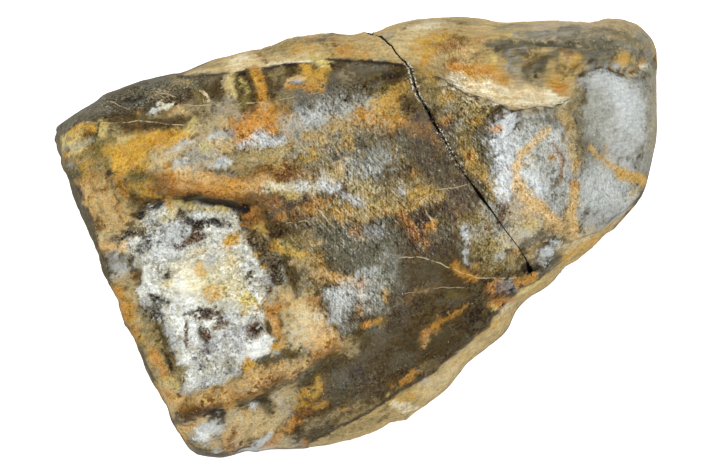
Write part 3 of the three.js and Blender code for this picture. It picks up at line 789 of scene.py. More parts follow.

# %% Paint the upper right: the basin in the dentine and the ridge to the tip
# bistre along the step to the tip's facet: painted shade in its groove
# the ridge, rippled with grey, with painted shade along the valleys between the ripples
PAINT += read_marks("""
sand .8 5 10.2 1.5 .5 -12; slate .5 .35: 4.6 11, 6 10.8, 7.6 10.3, 9.4 9.5; violet .35 7.3 9.85 .8 .14 -15
moss .5 8.2 9.9 .8 .2 -20; ochre .85 5.2 9 .8 1; amber .7 5 8.4 .4 .5; ochre .8 6.5 9.4 1 .35 -5
amber .7 5.4 8.1 .4 .3; sand .6 5.9 8 .4 .3; sienna .6 1: 7.2 8.9, 8.2 8.8, 8.9 8.5
moss .5 8 8.9 .7 .2 10; sienna .6 7 8.3 .8 .3 -10; amber .5 6.3 8.7 .5 .3; peach .6 7.8 7.7 .8 .4 -5
amber .9 1.2: 7 6.8, 8.2 6, 9.4 5.4, 10.1 5.2; orange .8 .8: 6.6 7.2, 7.3 6.6, 8 6.2, 8.9 5.9
straw .6 9.3 6.8 .4 .4; ochre .6 9.1 6.2 .5 .4; slate .5 8.3 7.4 .5 .25; sienna .5 6.7 7.6 .4 .2
# the pale band along the basin's lower border
sand .7 1: 7.4 5.9, 8.8 5.1, 10.2 4.4, 11.6 4
cream 1 1.15: 6.2 6.3, 7.2 5.6, 8.2 4.9, 9.2 4.2, 10.3 3.7, 11.4 3.3, 12.3 3; straw .5 9 4.4 1 .2 -35
khaki .9 11.4 5.2 2.2 1.1 -22; stone .6 10.8 4.9 1.4 .4 -25; slate .35 11.6 4.6 .8 .4 -10
amber .8 9.4 5.2 .5 .3 -20; amber .7 12.4 3.9 .5 .3 -20; orange .9 12.8 3.4 .6 .45 -30
ochre .35 12.6 4.3 .8 .4
# its floor, and the curled pit
slate .75 10.6 6.9 1.3 .5 -15; umber .5 11.4 6.4 1 .5 -10; slate .7 10.4 6.1 .5 .5 -40
violet .3 11.2 7 .8 .3; olive .6 12.6 6.5 .8 .3 -30; sienna .6 11.3 5.6 .3 .2
# the ridge, rippled with grey
moss .4 1: 10.5 8.5, 12.5 7.9, 14.5 7.3; ash .35 11.5 8.1 1.8 .3 -20; stone .8 3: 13.5 7.6, 16 6.2, 18.5 5
slate .8 1.8: 15.4 5, 17 4.6, 18.6 4.2; ash .5 18.2 4.9 1 .8 -20; slate .6 1: 15.6 4.8, 16.6 4.6
ash .5 19 4.2 .4 1; olive .5 17.8 5.4 .8 .4 -30
slate .8 .5: 9.3 7.6, 10.4 7.6, 11.4 7.3, 12.4 6.9, 13.3 6.4, 14.3 5.7; bistre .6 .35: 9.3 7.6, 10.2 7.55
bistre .7 .35: 12.4 6.95, 13.4 6.4, 14.2 5.8
slate .8 .4: 13.7 6.6, 14.8 6.1, 15.8 5.7, 16.8 5.3, 17.6 4.7; bistre .5 .3: 14.2 6.3, 15.2 5.9
ash .5 14.8 6.8 .8 .2 -25; ash .4 16.6 5.9 .6 .2 -30; khaki .6 1: 16.4 6.6, 17.6 6.2, 18.4 5.6
ochre .6 14.3 4.7 .6 .55 -20; khaki .7 14.6 4.3 .5 .4 -30; khaki .5 13.6 5.9 .5 .25 -35
sienna .6 .4: 13.4 6, 14.2 5.4; bistre .6 15.3 4.4 .4 .3 -20; ochre .8 17.2 3.9 .45 .5 -20
bistre .9 .3: 15.5 4.1, 16.1 3.8, 16.7 3.3, 17 3.1; sienna .6 .2: 17 3, 18.2 3.05, 19 3
amber .9 18.35 3.25 .35 .3; cream 1 18.4 2.95 .38 .28
""")
print(len(PAINT), "marks so far")

# %% Paint the white crust in the hollow
PAINT += read_marks("""
fog .9 -14.5 3 2.4 1.5; chalk .6 -16.9 3.4 .6 .4; chalk .5 -15.2 2.4 .8 .6; straw .6 -14 4.5 1 .4 15
moss .5 -15.3 4 .5 .3; moss .6 -12.6 4.4 .5 .25 -20
# dark pits in its upper part
bistre .9 -14.7 5.35 .6 .35; bistre .8 -15.9 5.1 .3 .4; chalk .9 -15.2 5.15 .25 .2
fog .7 -15.3 4.6 .4 .25 20; ochre .8 -13.7 5.3 .35 .6; straw .7 -13.2 5 .3 .3
bistre .9 .5: -17.9 4.2, -17 4.35, -16.2 4.1; slate .8 -17.8 4.1 .4 .25; slate .7 -16.2 4 .5 .3
violet .8 -16.3 3.2 .6 .35 20; bistre .6 -15.8 3.6 .25 .3; violet .7 -14.6 3.7 .25 .35
bistre .85 -13 3.8 .45 .3 -30; umber .7 -13.3 4.3 .2 .2; bistre .85 .5: -12.6 3.3, -11.9 3.2
violet .8 -14.1 2.5 .7 .45; cocoa .7 -14 2.3 .5 .35; cocoa 1 -12.9 2.75 .6 .45 20
bistre .8 -12.7 2.5 .35 .3; umber .6 -13.5 2.2 .3 .2; bistre .7 .35: -11.4 3.1, -11 2.7, -10.6 2.4
chalk .6 -11.6 2.6 .3 .4; chalk .6 -9.9 3.3 .25 .15
# its left border
chalk .7 .7: -16.6 1.5, -16.9 .8, -17.3 .4; cream .5 -16.4 2.4 .5 .3; violet .5 -15.8 2.3 .3 .3
olive .8 -17.9 2.6 .5 .4; bistre .7 -17.4 2.6 .25 .25; fog .7 -18.3 2.1 .5 .35; bistre .6 -17.3 1.95 .3 .2
sienna .6 -17.4 1.5 .3 .2; amber .8 -18.8 1.2 .25 .3; ochre .9 -18.6 .4 .35 .6; sand .6 -18.1 .5 .3 .4
sand .6 -17.9 1.15 .5 .14; amber .8 -18.75 -.8 .25 .5; sand .7 -18.3 -1.2 .25 .3; amber .9 -18.8 -2 .25 .4
straw .8 -15.8 .35 .35 .35 -20; bistre .8 -15.6 .8 .3 .2; moss .6 -15.4 .5 .17 .25
slate .7 -17.5 -.4 .3 .4; violet .7 -17 -.8 .6 .4; slate .7 -17.2 -1.2 .7 .7
bistre .8 .35: -16.9 -.1, -16.6 -.4, -16.3 -.7; bistre .7 -17.6 -1.5 .35 .3; violet .6 -16.9 -1.4 .6 .4
# its cream middle
cream 1 -14.3 .2 1.5 1.5; chalk .6 -14.9 -.2 .5 .9; chalk .8 -15.2 -1.4 .8 .7; ochre .6 -13.3 .4 .4 .5
sand .5 -12.9 1.6 .9 .4; fog .8 -12.4 .8 .5 .5; violet .5 -12.7 1 .25 .2; cream .7 -11.3 .2 .9 .6
ochre .95 -10.8 1.55 .6 .35 -10; straw .8 -12.8 -1.2 1 .5 -5; amber .6 -13.4 -1.2 .3 .25
cream .6 -11.5 -1 .7 .5; cream .8 -11.6 -1.9 .8 .4; chalk .8 -10.5 -2 .4 .5 20; violet .5 -10.4 -.8 .3 .3
bistre .7 .35: -10.7 -1.1, -10.2 -.9; chalk .9 -10.2 -1.2 .2 .15; fog .6 -10 -.2 .5 .4
straw .95 -11.3 -2.4 .5 .5; ochre .7 .4: -11.6 -3.1, -10.8 -3.2, -10.4 -3.1
# its right border
sienna .7 -9.2 1.7 .7 .3 -20; slate .7 -10.1 1.8 .4 .2; olive .8 1: -9.3 1.2, -8.9 .2, -8.9 -1, -8.7 -2.2
bistre .8 -9 .7 .5 .5; bistre .8 -8.7 -.6 .3 .35; moss .7 -9.5 -.3 .4 .4; violet .6 -9.6 -1.5 .4 .4
bistre .95 -9.1 -1.6 .35 .5; sienna .5 -9.6 -2.4 .35 .4; moss .6 -9.7 -2.1 .3 .2
orange .9 -9 2.7 .7 .45 -10; sienna .6 -9.2 2.5 .4 .2; amber .7 -8.6 1.8 .7 .4; orange .6 -9.7 2.2 .3 .2
umber .8 -7.8 1.4 .8 .6; umber .8 -7.6 2.5 .8 .6; ochre .8 .5: -8.4 .3, -7.9 -.3, -7.2 -.7
# its lower part, violet-grey with brown pits and white blades
violet .6 -13 -4.3 2.2 1.2; fog .6 -12.6 -3.1 .8 .5
chalk .8 .7: -15.9 -2.1, -15.4 -3.2, -16.2 -4, -16.6 -4.8; chalk .7 .35: -15.2 -2.3, -15.2 -3.3, -15.3 -4
umber .6 -15 -2 .5 .14; cocoa .95 -14.2 -2.2 .65 .4 -20; bistre .6 -14.2 -2.2 .35 .25 -20
cocoa .9 -13.45 -2.7 .4 .6; umber .7 -13.6 -3 .3 .2; chalk .5 -11.9 -3.5 .8 .14
chalk .6 -10.5 -3.7 .2 .5 -20; chalk 1 .9: -12.4 -5.8, -11.6 -5.7, -10.9 -5.4; slate .6 -15.4 -5.4 .7 .5
bistre .5 -15.6 -5.6 .2 .3; chalk .7 .5: -15.9 -5.2, -16.2 -5.8
# between the crust and the broken edge
khaki .9 1.5: -18.3 .6, -18.1 -1.6, -17.8 -3.4, -17.6 -5.6; olive .6 .9: -17.7 -1.9, -17 -2.2, -16.8 -2.8
olive .7 -17.25 -3.6 .25 1.2; ochre .7 -18.5 -2.3 .3 .4; slate .8 -18.4 -3.6 .25 .6
amber .7 .5: -18 -3.4, -17.9 -4.4, -17.9 -5.2; olive .9 .35: -18.85 -3.4, -18.6 -4.8, -18.5 -5.6
bistre .8 -17.3 -4.6 .17 .6; umber .5 -17 -3.6 .2 .5; moss .8 -16.8 -5.4 .35 .35
straw .6 -17.9 -5.6 .4 .3; sienna .7 -18.45 -5.5 .2 .2
""")
print(len(PAINT), "marks so far")

# %% Paint the middle: bright and dark enamel between the ledge and the crack
# silver polished patch, brightened by a painted sheen
PAINT += read_marks("""
# orange spots under the ledge
orange .51 -7.2 2 .5 .4; amber .54 .7: -6.3 1.75, -5.2 1.8, -4.1 1.7; orange .36 -5 1.9 .6 .2
moss .6 -3.9 1.5 .4 .3; violet .6 -5.5 1.2 .4 .12; umber .6 -6.4 .9 1.2 .5; orange .57 -3.4 .65 .45 .35
ochre .48 -3.4 .9 .7 .5; peach .5 -3.8 .25 .5 .2; slate .7 -5.2 .2 .9 .7
# mottled band across the crown
moss .7 -1.4 1.6 1 1; sand .5 -1.9 2.3 .6 .6 -20; ash .5 -.8 1.9 .5 .6
violet .8 .5: -3 1.9, -2.4 1.3, -1.9 .6; silver .7 .25: -2.7 1.5, -2.1 .8, -1.8 .5
tan .7 1: -2.6 .2, -1.4 .2, -.2 .1, .4 -.3; amber .36 -.9 -.1 .8 .25; straw .4 -1.3 .6 .8 .2
silver .6 .65 .75 .35 .45; slate .6 .4 .3 .3 .3; ochre .51 .8: 1.2 .4, 2.2 .3, 2.8 -.3
amber .3 1.8 1.5 .3 .5; ochre .51 .5: .2 -.4, 1.2 -.35, 1.7 0; ochre .42 2.9 -.7 .5 .3 -30
umber .7 3.4 1.2 .9 1.2; slate .4 2.7 1.6 .4 .9; moss .5 4.1 .6 .5 .6
# grey enamel below it
umber .95 1.6 -2.8 2.5 2.5; slate .85 2.6: -4.6 -.9, -3.2 -1.6, -1.6 -1.9; slate .6 -.9 -1.3 .7 1
umber .5 -.6 -2.6 .7 .6; peach .45 -5.7 -.5 .6 .25 -20; orange .4 -3.1 -.6 .5 .4
peach .4 -2.6 -1.2 .4 .25; sand .35 -5.9 .3 .5 .3; violet .4 -2 -1.1 .8 .5; slate .6 2.3 -2.5 .8 .8
moss .35 2.7 -2 .4 .6
# rust running down to the orange spots
sienna .9 .6: .2 -.7, .35 -1.6, .6 -2.4; amber .6 .3: .3 -.6, .5 -1.5, .7 -2.3
sienna .8 1.55 -2.1 .65 .45 5; amber .6 1.6 -2.05 .5 .3 5; straw .7 1.85 -1.8 .3 .15
amber .95 1.05 -3 .4 .4; umber .8 1.3 -1.2 .6 .6; umber .5 3.4 -1 .9 .6
# the sparkling ridge beside the crust
ochre .7 .6: -8.1 .2, -7.3 -.7, -6.4 -1.3, -5.9 -1.9; straw .6 .3: -8 .3, -7.4 -.4, -6.9 -.9
amber .56 -6 -1.5 .4 .4; bistre .5 -6.9 -.4 .35 .15 -40; sand .5 .5: -7.6 -1, -6.8 -1.7, -6.2 -2.3
slate .5 -7.4 -2.2 .5 .5; peach .7 -6.3 -2.4 .5 .4 -30; sienna .45 .9: -6 -2.5, -5.2 -3.1, -4.5 -3.7
peach .65 .7: -5.9 -2.6, -5.1 -3.2, -4.5 -3.8; orange .32 -5 -3.3 .6 .3 -35
# silver polished patch
ash .9 -3.1 -4.3 1.4 1.3; fog .4 -3.4 -3.4 1 .4; pewter .9 -5.6 -4.5 1.1 1; pewter .9 -6.2 -5.5 .7 .5
chalk .4 -5.1 -4 .6 .3 -30; ash .7 -3.6 -5.6 1 .5; slate .5 -2.2 -4.6 .3 1 5; slate .4 -5.3 -4.9 .4 .3
orange .6 -3.9 -4 .5 .35 10; peach .4 -4.2 -4.6 .25 .4; sienna .5 -4.5 -5.5 .35 .5
peach .4 -4.6 -5.4 .3 .4; ochre .55 -2.6 -5.3 .25 .5 -20; slate .7 -5.6 -6.4 .9 .3
slate .7 -4.2 -7.1 .8 .3; amber 1 -4.4 -6.6 .5 .25; ochre .6 -3.5 -6.6 .5 .25 10
# smooth dark brown enamel right of it
umber .8 .9 -4.7 1.8 1 -20; umber .6 -.2 -3.7 .9 .4 -10; sienna .4 .4: -1.7 -5.9, -.6 -5.7, .8 -6
sand .3 -.4 -5.7 .7 .12; moss .5 1.6 -6.7 .8 .4 -10
""")
print(len(PAINT), "marks so far")

# %% Paint the lower left: the peach field, the fold and the flake below it
# the dark step under it: painted shade in the groove below the fold
PAINT += read_marks("""
orange .75 1.1: -9.6 -3.5, -9 -3.3, -8.6 -3.6; orange .9 .7: -10 -3.9, -10.2 -4.8, -9.9 -5.3
sienna .6 .35: -10.35 -4.2, -10.3 -5.2; moss .6 -9.3 -5 .4 .3; peach 1 1.9: -8 -4.2, -8 -5.2, -7.6 -6
orange .5 1: -7.3 -3.7, -7.2 -4.8, -7.2 -5.8; sand .85 -8.3 -5.1 1.5 1.6; sand .5 -7 -3.3 .8 .3 10
ochre .8 -10.6 -6 .5 .3 30; peach .7 -9.9 -5.9 .5 .3; sand .8 -9 -6.2 .7 .4; ash .5 -9.3 -6 .4 .25
cream .5 -8.3 -6.9 .8 .25 10; peach .7 .9: -8.2 -6.4, -7.2 -6.5, -6.6 -6.6
orange .5 .9: -8.3 -7.2, -7.3 -7.1, -6.4 -7.2; sienna .5 -6.5 -6.9 .4 .25 -20
moss .7 .3: -5.8 -7.3, -6.4 -7.7, -7.4 -7.85; violet .7 .7: -17 -6.5, -15.4 -6.5, -13.4 -6.6
chalk .6 -16.3 -6.3 .4 .5 -20; fog .7 -15 -6.7 .6 .35; slate .6 -13.8 -6 .6 .5
amber .9 .9: -18.4 -6.3, -17.9 -6.7, -17.6 -7.2; straw .6 -17.3 -6.2 .4 .3; ochre .95 -12.5 -6.5 .5 .5
chalk .85 -11.5 -6.1 .8 .25 5; slate .7 .6: -11.7 -6.6, -10.8 -6.5, -10.2 -6.8; fog .5 -10.6 -6.3 .3 .2
umber .7 -10.8 -7 .7 .25; sand .6 .4: -16.9 -7.1, -15.6 -7.2, -14 -7; moss .5 -13.6 -7.1 .7 .2
# the orange band over the fold
peach .7 1: -18.3 -7.3, -17.4 -7.4; peach .85 .9: -16.4 -7.5, -15.2 -7.5, -13.8 -7.6, -12.4 -7.3
peach .9 1.1: -12.6 -7.2, -11.6 -7.5, -10.6 -7.6, -9.5 -7.7
sienna .7 .4: -12.2 -7.7, -10.8 -7.8, -9.6 -7.9; straw .7 .2: -17 -7.4, -15.8 -7.55, -14.8 -7.6
slate .7 -14.9 -7.25 .25 .2 -30; sienna .9 .3: -17.8 -7.75, -16.4 -7.85, -15 -7.95
moss .6 -17.7 -7.6 .6 .16; amber .7 .35: -14.8 -7.9, -13.6 -8.1, -12.2 -8.1
# the dark step under it
umber 1 .7: -18.5 -8.2, -17.5 -8.15, -16.7 -8.1; bistre .85 .5: -16.8 -8.4, -15.8 -8.45, -15.1 -8.7
ochre .8 -14.5 -8.5 .5 .5; ochre .7 .4: -14.1 -8.7, -13.3 -8.4, -12.4 -8.4
bistre .95 .5: -13.8 -8.65, -12.9 -8.6, -12.2 -8.9; ochre .8 -13.8 -9.4 .35 .5
amber .8 .35: -13.4 -9.8, -12.6 -9.85, -12.1 -9.8; olive .7 .8: -11.8 -8.5, -10.6 -8.5, -9.2 -8.3
slate .6 .5: -10.9 -8.3, -9.4 -8.1, -8.2 -7.8
# the flake at the lower corner
peach .9 .8: -18 -8.9, -17.2 -8.9, -16.6 -8.9; orange .6 -17.2 -8.85 .5 .2
fog 1 1: -17.2 -9.7, -16.6 -9.5, -15.8 -9.4; chalk .6 -17.1 -9.7 .5 .25; silver .5 -16.4 -9 .5 .2 10
bistre .8 -15.3 -9.1 .35 .25 -20; ochre .9 .5: -18.3 -8.8, -18.2 -9.6, -17.9 -10.2
bistre .6 -17.8 -9.9 .3 .25; violet .5 -16.3 -10.1 .6 .25; peach .6 -16.2 -10.6 .8 .3
sand .5 -14.7 -9.1 .4 .5 -20; peach .9 -14.7 -9.8 .4 .3 -30
olive .85 .7: -17.6 -10.5, -16.7 -11, -15.8 -11.3; chalk .4 -16.4 -10.9 .5 .2 -20
orange 1 .45: -14.8 -10.1, -15.3 -10.6, -15.6 -11.2; sienna .7 .2: -14.6 -9.9, -15.1 -10.4, -15.5 -11.2
violet .8 .3: -14.3 -10, -14.9 -10.7, -15.2 -11.2; tan .9 1.3: -14.2 -10.5, -13.2 -10.4, -12.2 -10.5
sand .6 1.4: -14.6 -9.8, -13.2 -10.3, -12 -10.2, -11 -9.6; ochre .6 -12.9 -10.6 .5 .4
moss .4 -13.8 -11.2 1 .2 5
# grey film and orange at the rim
sand .7 -11.3 -9.2 .8 .7; fog .5 -11.2 -9.3 .5 .4; violet .3 -11.2 -10.1 .7 .3
ochre .85 .7: -8.5 -8.9, -8.9 -9.4, -9.8 -9.7; sienna .5 -8.3 -9.4 .3 .5; bistre .5 -9.5 -9.3 .4 .15 -30
ochre .8 -10.2 -10 .5 .25; sienna .8 -10.4 -10.6 .7 .45
orange 1 .5: -13.4 -11.65, -12.6 -11.5, -11.8 -11.25, -11 -10.95; amber .6 -12 -11.5 .5 .2 10
umber .8 .35: -12.4 -11.9, -11.2 -12.1, -10.2 -12.2; ash .9 .5: -13.2 -12.05, -12 -12.35, -11 -12.65
orange .8 -10.8 -12.3 .35 .2 -20; sand .25 .6: -10.4 -11.5, -8.6 -11.4, -6.6 -11.3
olive .8 -9.6 -12.15 .8 .3
""")
print(len(PAINT), "marks so far")

# %% Paint the lower edge: brown enamel with rust, over the tan rim of dentine
PAINT += read_marks("""
slate .45 -7.4 -9.8 1 1.2; slate .35 -3 -9.6 1.2 .6; bistre .5 -6.2 -9.3 .7 .5
bistre .5 2.2 -8.6 1.2 .7 10; bistre .4 -2 -8.9 .5 .4; orange 1 .55: -1.3 -8.75, -.7 -8.45, -.2 -8.3
peach .6 -1 -8.8 .3 .2 10; amber .8 .25: -.2 -8.2, .5 -8, 1.2 -7.85, 1.9 -7.6; slate .6 0 -8.8 .5 .15 -10
violet .3 1.6 -7.2 .6 .2; amber .9 .4: -2.4 -10.35, -2.9 -10.8, -3.6 -10.9; sienna .8 -4.3 -10.7 .3 .35
amber .6 -4.2 -10.9 .25 .2; moss .7 -3.8 -11.2 .35 .16 -30; slate .5 -2.2 -10.3 .3 .15 30
amber .5 -7.7 -11.3 .4 .2
# around the foot of the crack
amber .85 .45: 2.2 -4.8, 2.4 -5.3, 2.8 -5.8, 3.2 -6.1; sienna .5 2.5 -5.9 .35 .2 -30
sienna .7 .5: 3.3 -5.5, 4 -5.9, 4.8 -6.1; ochre .5 3.7 -5.4 .4 .25
olive .8 .6: 4.9 -6.3, 5.6 -6.4, 6.2 -6.7; orange 1 4.1 -7.15 .45 .35 -20; sienna .5 3.7 -7.2 .35 .4
violet .7 .6: 4.7 -7.3, 5.4 -7.5; bistre .5 5.3 -7.8 .5 .2; orange 1 .5: 3.5 -8, 4.1 -8.2, 4.9 -8.35
straw .85 3.8 -8.3 .35 .16 -15; sienna .7 4.3 -7.75 .5 .15 -20; slate .8 3.9 -8.75 .5 .12 10
amber .9 .5: 5.8 -7.3, 6.3 -7.4, 6.8 -7.5; bistre 1 .16: 6.8 -6.9, 7.1 -7, 7.5 -7.05
violet .5 7.2 -7.3 .35 .2
# stains in the rim of dentine
moss .5 .6: -9.4 -12.6, -7.6 -12.7, -5.6 -12.6; tan .5 -6.6 -12.4 1 .3
ochre .9 .5: -4.7 -11.8, -3.9 -12, -3.1 -12.1; cream .8 .3: -4.6 -12, -4.1 -12.5, -3.4 -12.8
moss .5 -5.2 -12.2 .5 .25; sand .8 1: -2.4 -12.1, -1 -11.7, .6 -11; fog .4 -2.1 -11.5 .35 .2
ochre .35 .6 -10.9 .7 .3 10; sand .5 3.2 -9.8 .9 .3 15; ochre .5 .4: 2.2 -9.7, 3.4 -9.5, 4.6 -8.9
sand .7 1.6 -10.6 .6 .3 10; moss .4 4.9 -8.9 .5 .2 10; straw .8 .4: 5.6 -8.1, 6.6 -7.95, 7.4 -7.8
ochre .4 6.8 -8.2 .6 .14 10; ochre .9 .9: 9.2 -6.9, 10.4 -6.6, 11.5 -6.4; amber .8 11.3 -6.4 .35 .2 10
straw .5 9.4 -6.6 .4 .2 20; moss .4 12.3 -6.3 .6 .25 15; ochre .5 .35: 12.2 -6.2, 13.2 -5.9, 14.2 -5.5
""")
print(len(PAINT), "marks so far")

# %% Paint the right half: the polished silver and its painted sheen, its veins and the tip's wear facet
# silver, much of it a painted sheen on polished enamel
# the wear facet on the tip, with a painted sheen brightest across its middle and greyer towards its edge
PAINT += read_marks("""
# the strip beside the crack
moss .9 1.5: 5.7 2.6, 5.6 1.2, 5.9 .2, 6.3 -.8, 6.6 -1.7
ochre .45 .9: 5.5 2.2, 5.6 1.2, 5.9 .2, 6.3 -.8, 6.6 -1.7; amber .45 5.5 1.3 .4 .6
olive .75 .7: 6.5 3.2, 6.6 1.6, 6.8 .4, 6.9 -.8; umber .6 .6: 5.3 -.2, 5.6 -1; slate .6 7 2.6 .4 .5
moss .6 7.1 3.6 .9 .7 -30; straw .5 7.2 4.1 .6 .35 -35; umber .4 6 4.4 .5 .4; ochre .5 6.8 3.3 .5 .3
# beige polished patch round the foot of the crack
khaki .8 2.4: 4.4 -3, 4.4 -4.2, 4.8 -5; moss .75 4.6 -2.7 .6 .9; violet .4 4.3 -3.3 .7 .5
sienna .45 3.7 -1.8 .4 .5 -20; sienna .5 5.2 -3.2 .25 .5; ash .6 5.5 -2.6 .3 .9; straw .5 5.6 -4.6 .7 .6
fog .6 5.2 -5.4 .6 .35; silver .95 .35: 3.6 -2.9, 3.3 -3.7, 3.2 -4.6, 3.2 -5.1
bistre .6 .35: 3.7 -5.1, 4.4 -5.3; moss .5 4.8 -5.8 .6 .25; stone .9 2.2: 7.3 -2.9, 7.6 -3.8, 7.4 -4.4
straw .4 7.6 -4.1 .9 .5; fog .5 7.2 -4.6 .5 .4; moss .5 6.8 -3.6 .4 .7
cocoa .95 .8: 6.5 -2.3, 6.4 -2.9, 6.2 -3.2; bistre .4 6.4 -2.7 .3 .4
slate .7 .6: 6.9 -5.3, 7.8 -5.1, 8.8 -4.9; amber .6 6.3 -5.7 .3 .5; moss .5 5.7 -5.9 .4 .4
# silver
silver 1 2: 8.4 2, 8 .9, 7.6 -.1, 7.4 -1.2; silver .7 8.9 2.7 .8 .3 -10; pewter .85 9.6 1.5 .9 .6 -10
violet .3 7.7 -.3 .4 .3; ash .5 1.3: 10 2.3, 11.2 2, 12 1.9; slate .5 11.3 1.8 .8 .25 -15
fog .7 11.4 .6 .7 .5; orange .9 7.8 2.5 .4 .3; umber .6 7.4 2 .3 .3; ash .4 1.7: 9.9 -.2, 10 -1.6, 10 -2.8
silver 1 1: 9 -.4, 9 -1.4, 9.3 -2.4; slate .4 .6: 10.3 -1.6, 10 -2.6, 9.6 -3.4; fog .5 9.5 -3.7 .5 .5
pewter .8 .7: 11.6 -2.8, 11.3 -3.8, 11 -4.6; pewter .95 2.6: 13 -2.4, 12.9 -3.6, 13.6 -4.4
pewter .8 1.2: 11.4 -5.3, 12.6 -5.3, 13.8 -4.9; violet .3 12 -5.2 .8 .4; ash .6 12.7 -1.6 .6 .5
ash .4 1: 15 -1.2, 15.4 -2, 15.8 -2.8; silver .5 13 -3.8 1.5 1 -20
# the facet worn on the tip
ash .7 1.8: 13.8 1.6, 13.5 .3, 13.7 -.5; moss .35 .8: 13.6 2.7, 13.2 1.6, 12.9 .4
ash .7 1: 14.6 3, 14.9 2; silver .6 2.2: 15.4 3, 15.9 1.6, 16.2 .4, 16.2 -.5
ash .4 1.2: 15.2 -.9, 15.8 -1.6; ash .85 1.3: 18.8 2.3, 18.2 .8, 17.7 -.7, 17 -2.2, 16.3 -3.2
tan .3 .9: 18.9 2.2, 18.3 .8, 17.8 -.7, 17.1 -2.1; sand .5 17.3 2.8 .5 .2 -10
# veins
peach .7 .9: 7.9 -1.6, 8.2 -2.4, 8.6 -3; ochre .6 .6: 8.5 -2.9, 9 -3.6, 9.2 -4.2; peach .5 8 -3.3 .5 .6
peach .6 .8: 8.9 -4.5, 9.5 -4.7, 9.8 -5.2; khaki .7 .7: 12 2.2, 12.4 1.9, 13 2.1
peach .6 .5: 12.3 1.9, 12.3 1, 12.2 .3; ochre .5 .6: 12.1 .2, 12 -.7, 11.7 -1.4
moss .5 .7: 12.6 .6, 12.5 -.6, 12 -1.6; orange .6 11.8 -1.4 .35 .4
tan .8 .6: 11.4 -2.9, 10.9 -3.6, 10.4 -4.4, 10.3 -5.4, 10.1 -6.1
peach .6 .5: 10.8 -3.4, 10.4 -4.3, 10.4 -5, 10.3 -5.6; ochre .5 14.2 -1.4 .2 .5
# whorl above the rim, right of the chip
peach .6 .5: 7.2 -6, 7.7 -5.6, 8.1 -5.4; sienna .5 7.5 -5.8 .4 .2 10
silver .9 .8: 7.6 -6.3, 8.4 -6.3, 9 -5.9; fog .7 9.3 -6.1 .4 .3; slate .8 .3: 7.4 -6.6, 8.2 -6.85, 9 -6.85
olive .8 .4: 7.4 -7.2, 8.2 -7.25, 8.8 -7.1
""")
print(len(PAINT), "marks so far")
